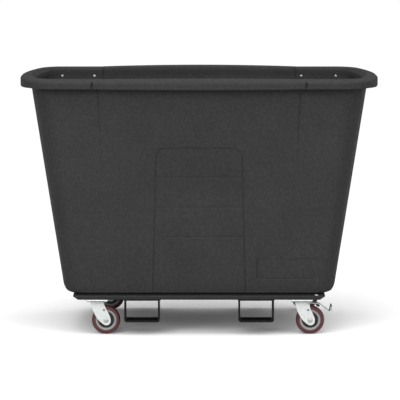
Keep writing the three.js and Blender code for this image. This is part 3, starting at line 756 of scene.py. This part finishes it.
# ------------------------------------------------------------------ base frame
RAIL_Z, RAIL_H, RAIL_W, RAIL_HALF = 160.0, 19.0, 102.0, 560.0
RAIL_TOP = RAIL_Z + RAIL_H
UNDER_RAIL = RAIL_Z - 0.3                         # top of what hangs below the rails
END_CUT_X, END_CUT_Z = 22.0, 15.0                 # slanted cut under each rail end
FRAME_HALF_W = 408.0
RAIL_INNER = FRAME_HALF_W - RAIL_W
CROSS_X, CROSS_W, CROSS_TOP, CROSS_T = (-505, -168, 168, 505), 50.0, 181.0, 3.0
STUD_X, STUD_Y, STUD_R = 522, 392, 8.8


def rail_tube(side):
    centre_y = side * (FRAME_HALF_W - RAIL_W / 2)
    cut = RAIL_HALF - END_CUT_X
    xs = [-RAIL_HALF, -RAIL_HALF + 0.8] + list(np.linspace(-RAIL_HALF + 3, -cut, 5))
    xs += [-cut + 3, -400, -200, 0, 200, 400, cut - 3]
    xs += list(np.linspace(cut, RAIL_HALF - 3, 5)) + [RAIL_HALF - 0.8, RAIL_HALF]
    loops = []
    for i, x in enumerate(xs):
        bottom = RAIL_Z + END_CUT_Z * max(0.0, (abs(x) - cut) / END_CUT_X)
        bevel = 0.8 if i in (0, len(xs) - 1) else 0.0
        half = RAIL_W / 2 - bevel
        radius = min(3.2, (RAIL_TOP - bottom) / 2 - 0.3)
        section = round_rect(-half, half, bottom + bevel * 0.3, RAIL_TOP - bevel, radius, 4)
        loops.append(np.array([(x, centre_y + p, q) for p, q in section]))
    return loft(loops)


def channel(centre_x):
    """Folded channel, open downwards, from rail to rail."""
    h, t = CROSS_W / 2, CROSS_T
    top, foot = CROSS_TOP, RAIL_Z + 1
    outline = fillet([(-h, foot), (-h, top), (h, top), (h, foot), (h - t, foot),
                      (h - t, top - t), (-h + t, top - t), (-h + t, foot)],
                     [0, 5, 5, 0, 0, 2.2, 2.2, 0], seg=4)
    reach = RAIL_INNER - 0.05
    return moved(xz_slab(outline, -reach, reach, 0.5), (centre_x, 0, 0))


def stud(side):
    """Domed stud on a rail near its right end."""
    base = RAIL_TOP + 0.1
    dome = [(STUD_R * math.cos(a), RAIL_TOP + 0.6 + 3.4 * math.sin(a))
            for a in np.linspace(0, QUARTER * 0.96, 9)]
    profile = [(0, base), (STUD_R, base)] + dome + [(0, RAIL_TOP + 4.0)]
    return lathe(profile, 40, at=(STUD_X, side * STUD_Y, 0))


def frame_welds():
    """Beads where each channel meets a rail: one up each flank and one along the top."""
    radius, half = 1.7, CROSS_W / 2
    beads = []
    for x in CROSS_X:
        for side in (-1, 1):
            y = side * (RAIL_INNER - 0.9)
            for flank in (-1, 1):
                bead_x = x + flank * (half + 0.6)
                beads.append(bead((bead_x, y, RAIL_Z + 2.5), (bead_x, y, RAIL_TOP - 1.5), radius))
            z = RAIL_TOP + 0.6
            beads.append(bead((x - half + 7, y, z), (x + half - 7, y, z), radius))
    return join(*beads)


piece("undercarriage_frame", join(rail_tube(-1), rail_tube(1), *[channel(x) for x in CROSS_X]),
      PAINT, "cart", "base_frame", "black_paint")
piece("ledge_studs", join(stud(-1), stud(1)), HARDWARE, "cart", None, "zinc_hardware")
piece("frame_welds", frame_welds(), WELD_PAINT, "cart", None, "black_paint",
      sharp=70, weighted=False)

# ------------------------------------------------------------------ fork straps
STRAP_X, STRAP_W, STRAP_D = 254.0, 158.0, 100.0   # centre, width along X, depth along Y
STRAP_Z, STRAP_R = 59.0, 12.0                     # underside and its outer corner radius
STRAP_T, STRAP_TOP_T = 8.0, 4.0                   # thickness of walls, of top


def strap_shape():
    """Closed loop of flat bar, centred on x = y = 0."""
    h, t = STRAP_W / 2, STRAP_T
    inner_top = UNDER_RAIL - STRAP_TOP_T
    outline = fillet([(-h, UNDER_RAIL), (-h, STRAP_Z), (h, STRAP_Z), (h, UNDER_RAIL)],
                     [1.6, STRAP_R, STRAP_R, 1.6], seg=9)
    gap = fillet([(-h + t, inner_top), (-h + t, STRAP_Z + t), (h - t, STRAP_Z + t),
                  (h - t, inner_top)], [1.2, 4, 4, 1.2], seg=7)
    return xz_slab(outline, -STRAP_D / 2, STRAP_D / 2, 1.0, [gap], steps=3)


strap_beads = []
for sy, y_name in SIDES:
    for sx, x_name in ENDS:
        centre_y = sy * (FRAME_HALF_W - STRAP_D / 2)
        # the straps wear the darker copy of the black paint: painted shade
        piece(f"strap_{y_name}_{x_name}", moved(strap_shape(), (sx * STRAP_X, centre_y, 0)),
              SHADED_STRAP_PAINT, "cart", f"fork_strap_{y_name}_{x_name}", "black_paint")
        for edge in (-1, 1):
            x, z = sx * STRAP_X + edge * (STRAP_W / 2 + 1.2), UNDER_RAIL - 1.0
            strap_beads.append(bead((x, centre_y - STRAP_D / 2 + 5, z),
                                    (x, centre_y + STRAP_D / 2 - 5, z), 2.0))
piece("strap_welds", join(*strap_beads), WELD_PAINT, "cart", None, "black_paint",
      sharp=70, weighted=False)

# ------------------------------------------------------------------ casters
# Caster shapes are centred on the swivel axis, wheel and axle shapes on the hub.
CASTER_X, CASTER_Y, TRAIL = 455.0, 351.0, 40.0    # every wheel trails towards +X
WHEEL_R, WHEEL_W = 63.5, 32.0
PLATE_L, PLATE_W, PLATE_T, PLATE_CORNER = 102.0, 114.0, 5.0, 9.0
BOLT_X, BOLT_Y = 38.1, 36.0
PLATE_TOP = UNDER_RAIL
PLATE_Z = PLATE_TOP - PLATE_T
CROWN_TOP, CROWN_UNDER = 149.0, 144.0
FORK_T, LEG_Y, BEND_R = 4.5, 21.25, 5.2           # sheet, leg and bend at mid thickness
LEG_HOLE_X, LEG_HOLE_Z, LEG_HOLE_R = 31, 109, 4.6
AXLE_HOLE_R, PIVOT_HOLE_R = 6.2, 3.4
PIVOT_X, PIVOT_Z = 32.0, 137.5                    # brake pedal pivot
PAD_FOLD, LIP_TIP = (128.2, 98.5), (134.3, 129.5)  # (x, z) where the lip turns up, and its end


def caster_bolt(x, y, inner):
    """Hex head and washer under the plate; the inner bolt also has a nut on the tub floor."""
    parts = []
    if inner:
        washer = FLOOR + 0.1
        nut = washer + 2.05
        parts = [disc(14, washer, washer + 2, 0.6, n=48, seg=3),
                 hexagon(15.6, nut, nut + 5.2),
                 bolt_tip(4.7, nut + 5.25, nut + 8.2),
                 disc(11, RAIL_TOP + 0.15, TUB_Z - 0.1, 0.4, n=40, seg=3)]
    z = PLATE_Z - 0.1
    parts.append(disc(10.2, z - 1.5, z, 0.3, n=40))
    parts.append(hexagon(15.6, z - 1.55 - 5.0, z - 1.55, chamfer_low=True))
    return moved(join(*parts), (x, y, 0))


def plate_shape():
    holes = [circle(i * BOLT_X, j * BOLT_Y, 5.6, 28) for i in (-1, 1) for j in (-1, 1)]
    holes.append(circle(0, 0, 9.9, 40))
    half_l, half_w = PLATE_L / 2, PLATE_W / 2
    outline = round_rect(-half_l, half_l, -half_w, half_w, PLATE_CORNER, 8)
    flat = slab(outline, PLATE_Z, PLATE_TOP, 0.8, holes)
    # pressed-down ring that carries the upper ball track
    track = fillet([(15.0, PLATE_Z - 0.1), (15.0, PLATE_Z - 2.0), (31.5, PLATE_Z - 2.0),
                    (34.5, PLATE_Z - 0.1)], [0.3, .6, .9, .4], seg=3)
    return join(flat, lathe(track, 64))


def kingpin_shape():
    """Nut, washer and threaded end under the crown; plain pin with a flared head above."""
    radius, nut_low, tip, pitch, depth, chamfer = 5.6, 133.35, 130.1, 1.2, 0.35, 0.8
    thread, h = [], nut_low
    while h - tip - chamfer > pitch:
        thread += [(radius, h - pitch * 0.1), (radius, h - pitch * 0.35),
                   (radius - depth, h - pitch * 0.6), (radius - depth, h - pitch * 0.75)]
        h -= pitch
    thread += [(radius, tip + chamfer), (radius - chamfer * 0.8, tip)]
    head = PLATE_TOP - 0.35
    return join(
        hexagon(17.0, 133.4, CROWN_UNDER - 1.9, chamfer_low=True),
        disc(11.5, CROWN_UNDER - 1.85, CROWN_UNDER - 0.4, 0.3, n=40),
        lathe([(0, tip)] + thread[::-1] + [(0, nut_low)], 32),
        lathe([(0, CROWN_UNDER - 0.35), (6, CROWN_UNDER - 0.35), (6, PLATE_Z + 1.2),
               (9.4, PLATE_TOP - 0.9), (9.4, head), (0, head)], 40))


def race_shape():
    """Lower ball-track ring on the fork crown."""
    low, high = CROWN_TOP + 0.1, CROWN_TOP + 2.5
    profile = [(12.8, low), (32.0, low), (33.8, CROWN_TOP + 1.6), (31.5, high), (12.8, high)]
    return lathe(fillet(profile, [.3, .6, .8, .4, .3], seg=3), 64)


# Side view of a fork leg: (x, z, corner radius), down the -X edge and up the +X edge
LEG_EDGE = (
    (-30, CROWN_TOP, 2), (-29, 141, 12), (-18, 107, 60), (-10, 89.5, 60), (-1.5, 73, 60),
    (12.5, 57.5, 60), (26, 46, 60), (34, 41.5, 20), (42, 40, 20), (50, 41.6, 20), (56.5, 46, 20),
    (60.6, 54, 20), (61.5, 65, 30), (58.5, 77, 60), (52, 93, 60),
)
LEG_TAIL = ((43, 110, 60), (31, 136, 12), (27, CROWN_TOP, 2))
LEG_TAIL_BRAKED = ((43, 110, 20), (38.6, 124, 14), (38.4, 130, 6), (38.4, 142, 5),
                   (33.5, CROWN_TOP, 2))


def fork_shape(braked):
    """Sheet bent into two legs and a crown, followed from the +Y leg to the -Y leg."""
    points = LEG_EDGE + (LEG_TAIL_BRAKED if braked else LEG_TAIL)
    outline = fillet([p[:2] for p in points], [p[2] for p in points], seg=10)

    def span(z):
        """Least and greatest x of the leg outline at a height."""
        xs = []
        for a, b in zip(outline, np.roll(outline, -1, 0)):
            if (a[1] - z) * (b[1] - z) <= 0 and abs(a[1] - b[1]) > 1e-9:
                xs.append(a[0] + (z - a[1]) / (b[1] - a[1]) * (b[0] - a[0]))
        return min(xs), max(xs)

    crown_z = CROWN_TOP - 0.2 - FORK_T / 2
    rows = around(float(outline[:, 1].min()),
                  (0.15, 0.5, 1.1, 1.9, 3.0, 4.4, 6.2, 8.4, 11, 14, 17.5, 21.5))
    rows += list(np.linspace(66, crown_z - BEND_R - 0.01, 26))
    half_path = [(LEG_Y, z, 1.0, 0.0) for z in rows]
    for k in range(1, 9):
        cos, sin = math.cos(QUARTER * k / 8), math.sin(QUARTER * k / 8)
        half_path.append((LEG_Y - BEND_R + BEND_R * cos, crown_z - BEND_R + BEND_R * sin, cos, sin))
    half_path += [(float(y), crown_z, 0.0, 1.0) for y in (12, 8, 4)]
    mirrored = [(-y, z, -ny, nz) for y, z, ny, nz in reversed(half_path)]
    path = half_path + [(0.0, crown_z, 0.0, 1.0)] + mirrored
    spans = [span(min(p[1], CROWN_TOP - 2.6)) for p in path]
    return loft(sheet(path, spans, FORK_T))


def drill(obj, holes):
    """Cuts round holes along Y, each (x, y, z, radius), and weights the normals."""
    cutter = mesh_object("cutter", join(*[y_pin(r, 40, 28, at=(x, y, z)) for x, y, z, r in holes]))
    cutter_mesh = cutter.data
    modifier = obj.modifiers.new("Holes", "BOOLEAN")
    modifier.object = cutter
    modifier.solver = "EXACT"
    evaluated = obj.evaluated_get(bpy.context.evaluated_depsgraph_get())
    drilled = bpy.data.meshes.new_from_object(evaluated)
    obj.modifiers.clear()
    obj.data = drilled
    shade_smooth(drilled, 38)
    add_weighted_normals(obj)
    bpy.data.objects.remove(cutter)
    bpy.data.meshes.remove(cutter_mesh)


def axle_shape():
    """Round-headed axle bolt with washers; the head is towards -Y, the nut towards +Y."""
    head = fillet([(0, -30.6), (6.0, -30.4), (9.3, -28.0), (9.3, -25.4), (0, -25.4)],
                  [0, 3, 1.4, .3, 0], closed=False, seg=5)
    return join(
        disc(11, -25.3, -23.7, 0.4, n=48, along="Y"),
        lathe(head, 48, along="Y"),
        y_pin(5.6, 23.6, 32),
        disc(11, 23.7, 25.3, 0.4, n=48, along="Y"),
        swap_yz(hexagon(15.8, 25.4, 30.2)),
        bolt_tip(4.9, 30.25, 32.0, along="Y"))


def wheel_tread():
    h = WHEEL_W / 2
    profile = fillet([(46.7, -h), (57.5, -h), (WHEEL_R, -h + 7), (WHEEL_R, h - 7), (57.5, h),
                      (46.7, h)], [0.6, 4.5, 9, 9, 4.5, 0.6], seg=6)
    return lathe(profile, 96, along="Y")


def wheel_core():
    """Hub, thin web and rim; the section is the same on both sides of the wheel."""
    half = ((7.0, 17.4, .5), (13.5, 17.4, .8), (15, 6, 2.5), (35.2, 5, 3), (37.0, 13.4, 1.2),
            (45.0, 14.6, .8), (46.6, 14.0, .3))    # (radius, half width, corner radius)
    points = [(r, -h) for r, h, _ in half] + [(r, h) for r, h, _ in reversed(half)]
    radii = [p[2] for p in half]
    return lathe(fillet(points, radii + radii[::-1], seg=4), 96, along="Y")


def web_shade_rings():
    """Near-black flat ring on each face of the wheel's web: painted shade for the shadow in the
    recess.
    """
    rings = []
    for low, high in ((-8.6, -6.3), (6.3, 8.6)):
        profile = fillet([(15.6, low), (35.0, low), (35.0, high), (15.6, high)],
                         [.3, .3, .5, .5], seg=3)
        rings.append(lathe(profile, 72, along="Y"))
    return join(*rings)


def pedal_shape():
    """Bent strip from the barrel over the wheel, out to a tread pad with a turned-up lip."""
    line = fillet([(PIVOT_X + 1.0, PIVOT_Z + 3.4), (76, 137.6), PAD_FOLD, LIP_TIP],
                  [0, 12, 5.5, 0], closed=False, seg=8)
    dense = []
    for a, b in zip(line[:-1], line[1:]):
        steps = max(1, int(np.linalg.norm(b - a) / 6))
        dense += [a + (b - a) * k / steps for k in range(steps)]
    dense = np.array(dense + [line[-1]])
    tangent = np.gradient(dense, axis=0)
    tangent /= np.linalg.norm(tangent, axis=1)[:, None]
    path = [(float(p[0]), float(p[1]), float(-t[1]), float(t[0])) for p, t in zip(dense, tangent)]
    run = np.concatenate([[0], np.cumsum(np.linalg.norm(np.diff(dense, axis=0), axis=1))])
    lip_r = 6                                      # rounded corners of the lip
    spans = []
    for s in run:
        half = 17.5 + 7.5 * float(smooth01(46, 58, s))
        left = run[-1] - s
        if left < lip_r:
            half -= lip_r - math.sqrt(max(0.0, lip_r ** 2 - (lip_r - left) ** 2))
        spans.append((-half, half))
    # sheet() puts the width along X; here the width is Y and the path lies in XZ
    return loft([loop[:, [1, 0, 2]] for loop in sheet(path, spans, 3.2)])


def pedal_barrel():
    profile = fillet([(3.6, -17.4), (5.3, -17.4), (5.3, 17.4), (3.6, 17.4)], [.2, .4, .4, .2],
                     seg=2)
    return lathe(profile, 36, at=(PIVOT_X, 0, PIVOT_Z), along="Y")


def pedal_grip():
    """Rubber sleeve over the upper edge of the lip."""
    up = np.array(LIP_TIP) - np.array(PAD_FOLD)
    up /= np.linalg.norm(up)
    across = np.array([-up[1], up[0]])
    base = np.array(LIP_TIP) - up * 24.5
    # (distance up the lip, distance across it, corner radius)
    section = ((0, 3.4, .8), (26.2, 3.4, 2.4), (26.2, -3.2, 2.4), (0, -3.2, .8),
               (0, -1.75, 0), (24.7, -1.75, .5), (24.7, 1.75, .5), (0, 1.75, 0))
    outline = fillet([base + up * u + across * v for u, v, _ in section],
                     [p[2] for p in section], seg=4)
    return xz_slab(outline, -25.6, 25.6, 0.5)


def shoe_shape():
    outline = fillet([(63.4, 135.3), (74.6, 134.7), (84.0, 127.8), (79.4, 120.8), (68.0, 126.4)],
                     [1.2, 2, 1.5, 2.5, 2.5], seg=4)
    return xz_slab(outline, -12, 12, 0.8, steps=3)


def pedal_pin():
    """Rivet through the fork legs with a domed head at each end."""
    at, half, head, tip = (PIVOT_X, 0, PIVOT_Z), 24.1, 24.15, 26.8
    parts = [y_pin(2.9, half, 28, at=at)]
    for points, radii in (
            ([(0, -tip), (4.4, -tip), (5.2, -head), (0, -head)], [0, 1.6, .3, 0]),
            ([(0, head), (5.2, head), (4.4, tip), (0, tip)], [0, .3, 1.6, 0])):
        parts.append(lathe(fillet(points, radii, closed=False, seg=5), 32, at=at, along="Y"))
    return join(*parts)


def body_of(node):
    """Body of the frame's record that a CAD node belongs to."""
    for body, members in frame["record"]["behaviour"]["bodies"].items():
        if node in members:
            return body


def build_caster(sx, sy, tag, y_name):
    """One caster; the two right-hand ones (+X) have brakes."""
    x, y = sx * CASTER_X, sy * CASTER_Y
    hub = (x + TRAIL, y, WHEEL_R)
    braked = sx > 0
    swivel, wheel = f"swivel_{tag}", f"wheel_{tag}"

    def add(name, solid, material, body, node, slot, at=(x, y, 0), **options):
        return piece(name, moved(solid, at), material, body, node, slot, **options)

    for ix in (-1, 1):
        for iy in (-1, 1):
            inner = ix == -sx and iy == -sy        # the bolt nearest the cart's centre
            bolt = f"{tag}_{'a' if ix < 0 else 'b'}{'1' if iy < 0 else '2'}"
            piece(f"bolt_{bolt}", caster_bolt(x + ix * BOLT_X, y + iy * BOLT_Y, inner),
                  HARDWARE, "cart", f"caster_bolt_{bolt}", "zinc_hardware")
    # the plate wears the lighter copy of the zinc: painted light
    add(f"plate_{tag}", plate_shape(), LIT_PLATE_ZINC, "cart", f"caster_plate_{tag}", "zinc_plate")
    add(f"king_{tag}", kingpin_shape(), HARDWARE, "cart", f"kingpin_{tag}", "zinc_hardware")
    race = f"ball_race_{tag}"
    add(f"race_{tag}", race_shape(), HARDWARE, body_of(race), race, "zinc_hardware")

    fork = add(f"fork_{tag}", fork_shape(braked), ZINC, swivel, f"caster_fork_{tag}",
               "zinc_plate", weighted=False)
    holes = [(x + LEG_HOLE_X, y, LEG_HOLE_Z, LEG_HOLE_R)]
    if braked:
        holes.append((x + PIVOT_X, y, PIVOT_Z, PIVOT_HOLE_R))
    holes.append((*hub, AXLE_HOLE_R))
    drill(fork, holes)

    add(f"axle_{tag}", axle_shape(), HARDWARE, swivel, f"axle_bolt_{tag}", "zinc_hardware", hub)
    add(f"tread_{tag}", wheel_tread(), TREAD, wheel, f"wheel_tread_{tag}", "tread_urethane", hub)
    add(f"core_{tag}", wheel_core(), CORE_PLASTIC, wheel, f"wheel_core_{tag}", "core_plastic", hub)
    # dark rings on the web: painted shade in the recess
    add(f"shaded_web_{tag}", web_shade_rings(), RECESS_SHADE_DARK, wheel, None, "core_plastic", hub)
    if not braked:
        return
    pedal = f"pedal_{y_name}"
    add(f"pedal_arm_{y_name}", pedal_shape(), PEDAL_STEEL, pedal, f"brake_pedal_{y_name}",
        "pedal_steel")
    add(f"pedal_barrel_{y_name}", pedal_barrel(), PEDAL_STEEL, pedal, None, "pedal_steel")
    add(f"pedal_grip_{y_name}", pedal_grip(), RUBBER, pedal, None, "shoe_rubber")
    add(f"shoe_{y_name}", shoe_shape(), RUBBER, pedal, f"brake_shoe_{y_name}", "shoe_rubber")
    add(f"pedal_rivet_{y_name}", pedal_pin(), HARDWARE, swivel, f"pedal_pin_{y_name}",
        "zinc_hardware")


for sy, y_name in SIDES:
    for sx, x_name in ENDS:
        build_caster(sx, sy, f"{y_name}_{x_name}", y_name)

# ------------------------------------------------------------------ rim screws
SCREW_X, SCREW_Z = (-637, -488, 476, 637), 1098.0
SCREW_Y = half_width(SCREW_Z - 10) - WALL - 0.9   # inner face of the rear wall


def screw_shape():
    """Washer and domed head, facing -Y."""
    washer = fillet([(0, -1.2), (5.6, -1.2), (5.6, 0), (0, 0)], [0, .4, .3, 0],
                    closed=False, seg=2)
    head = [(0, -3.9), (1.9, -3.7), (3.1, -3.0), (3.7, -2.2), (3.9, -1.25), (0, -1.25)]
    return join(lathe(washer, 40, along="Y"), lathe(head, 36, along="Y"))


for letter, x in zip("abcd", SCREW_X):
    piece(f"screw_{letter}", moved(screw_shape(), (x, SCREW_Y, SCREW_Z)), HARDWARE, "cart",
          f"rim_screw_{letter}", "pedal_steel")

# ------------------------------------------------------------------ floor (metres)
FLOOR_HALF, FLOOR_Z = 90.0, -0.0004
FLOOR_TONE, FLOOR_BOUNCE = 1.08, 0.55             # grey seen by the camera, by other rays
FLOOR_LIFT = 0.065                                # glow added for the camera
FLOOR_FADE = (1.6, 4.0)                           # distance over which it turns to backdrop
BACKDROP = 1.02


def floor_material():
    """White floor, clear from below, that fades into the backdrop for the camera."""
    mat = bpy.data.materials.new("floor_white")
    mat.use_nodes = True
    tree = mat.node_tree
    tree.nodes.remove(tree.nodes["Principled BSDF"])

    def new(kind):
        return tree.nodes.new("ShaderNode" + kind)

    def link(source, target):
        tree.links.new(source, target)

    diffuse, path, tone = new("BsdfDiffuse"), new("LightPath"), new("Mix")
    camera_ray = path.outputs["Is Camera Ray"]
    tone.data_type = "RGBA"
    tone.inputs[6].default_value = grey(FLOOR_BOUNCE) + (1,)
    tone.inputs[7].default_value = grey(FLOOR_TONE) + (1,)
    link(camera_ray, tone.inputs[0])
    link(tone.outputs[2], diffuse.inputs["Color"])

    two_sided, clear, geometry = new("MixShader"), new("BsdfTransparent"), new("NewGeometry")
    link(geometry.outputs["Backfacing"], two_sided.inputs[0])
    link(clear.outputs[0], two_sided.inputs[2])

    far, glow, gate, faded = new("MapRange"), new("Emission"), new("Math"), new("MixShader")
    length = new("VectorMath")
    length.operation = "LENGTH"
    gate.operation = "MULTIPLY"
    far.interpolation_type = "SMOOTHSTEP"
    far.inputs["From Min"].default_value, far.inputs["From Max"].default_value = FLOOR_FADE
    glow.inputs["Strength"].default_value = BACKDROP
    link(geometry.outputs["Position"], length.inputs[0])
    link(length.outputs["Value"], far.inputs["Value"])
    link(far.outputs["Result"], gate.inputs[0])
    link(camera_ray, gate.inputs[1])
    link(gate.outputs[0], faded.inputs[0])

    own, add, lift = new("Emission"), new("AddShader"), new("Math")
    lift.operation = "MULTIPLY"
    lift.inputs[1].default_value = FLOOR_LIFT
    link(camera_ray, lift.inputs[0])
    link(lift.outputs[0], own.inputs["Strength"])
    link(diffuse.outputs[0], add.inputs[0])
    link(own.outputs[0], add.inputs[1])
    link(add.outputs[0], faded.inputs[1])
    link(glow.outputs[0], faded.inputs[2])
    link(faded.outputs[0], two_sided.inputs[1])
    output = [n for n in tree.nodes if n.type == "OUTPUT_MATERIAL"][0]
    link(two_sided.outputs[0], output.inputs[0])
    return mat


def build_floor():
    mesh = bpy.data.meshes.new("floor")
    corners = ((-1, -1), (1, -1), (1, 1), (-1, 1))
    mesh.from_pydata([(i * FLOOR_HALF, j * FLOOR_HALF, FLOOR_Z) for i, j in corners], [],
                     [(0, 1, 2, 3)])
    obj = bpy.data.objects.new("floor", mesh)
    bpy.context.scene.collection.objects.link(obj)
    mesh.materials.append(floor_material())


build_floor()

# ------------------------------------------------------------------ world, lights, camera (metres)
SKY_BEHIND, SKY_FRONT = 0.13, 1.0                 # strengths seen towards +Y and -Y
SKY_OVERHEAD, SKY_RIGHT = 0.60, 0.18              # strengths added above and at +X
scene = bpy.context.scene


def build_world():
    """Soft studio light; the camera itself sees a plain white backdrop."""
    world = bpy.data.worlds.new("studio") if scene.world is None else scene.world
    scene.world = world
    world.use_nodes = True
    tree = world.node_tree
    background = tree.nodes["Background"]
    coords, axes, path, choose = (tree.nodes.new("ShaderNode" + kind)
                                  for kind in ("TexCoord", "SeparateXYZ", "LightPath", "Mix"))
    tree.links.new(coords.outputs["Generated"], axes.inputs[0])

    def ramp(axis, span, to):
        node = tree.nodes.new("ShaderNodeMapRange")
        node.interpolation_type = "SMOOTHSTEP"
        for key, value in zip(("From Min", "From Max", "To Min", "To Max"), span + to):
            node.inputs[key].default_value = value
        tree.links.new(axes.outputs[axis], node.inputs["Value"])
        return node.outputs["Result"]

    def combine(operation, a, b):
        node = tree.nodes.new("ShaderNodeMath")
        node.operation = operation
        tree.links.new(a, node.inputs[0])
        tree.links.new(b, node.inputs[1])
        return node.outputs[0]

    strength = combine("MULTIPLY", ramp("Y", span=(0.15, -0.95), to=(SKY_BEHIND, SKY_FRONT)),
                       ramp("Z", span=(0.04, 0.42), to=(0.2, 1.0)))
    strength = combine("ADD", strength, ramp("Z", span=(0.1, 1.0), to=(0.0, SKY_OVERHEAD)))
    strength = combine("ADD", strength, ramp("X", span=(0.1, 1.0), to=(0.0, SKY_RIGHT)))
    choose.data_type = "FLOAT"
    tree.links.new(path.outputs["Is Camera Ray"], choose.inputs[0])
    tree.links.new(strength, choose.inputs[2])
    choose.inputs[3].default_value = BACKDROP
    background.inputs["Color"].default_value = (1, 1, 1, 1)
    tree.links.new(choose.outputs[0], background.inputs["Strength"])


def area_light(name, location, target, size, power):
    light = bpy.data.lights.new(name, "AREA")
    light.shape = "RECTANGLE"
    light.size, light.size_y = size
    light.energy = power
    obj = bpy.data.objects.new(name, light)
    scene.collection.objects.link(obj)
    obj.location = location
    aim = Vector(target) - Vector(location)
    obj.rotation_euler = aim.to_track_quat("-Z", "Y").to_euler()


def build_camera():
    camera = bpy.data.cameras.new("camera")
    obj = bpy.data.objects.new("camera", camera)
    scene.collection.objects.link(obj)
    obj.location = (0.004, -13.6, 2.178)
    obj.rotation_euler = (math.radians(83.209), 0.0, 0.0)
    camera.lens = 270.2
    camera.sensor_width = 36
    camera.clip_start = 0.1
    camera.clip_end = 300
    scene.camera = obj


build_world()
area_light("key_top", location=(0.0, -0.6, 6.0), target=(0, 0, 0.5), size=(7.0, 5.0), power=130.0)
area_light("key_left", location=(-2.9, -7.6, 4.6), target=(0, 0, 0.6), size=(6.0, 4.0),
           power=300.0)
area_light("fill_right", location=(6.0, -5.0, 3.0), target=(0, 0, 0.6), size=(3.0, 3.0),
           power=65.0)
build_camera()
scene.view_settings.view_transform = "Standard"
scene.view_settings.look = "None"
scene.view_settings.exposure = 0.0
scene.view_settings.gamma = 1.0
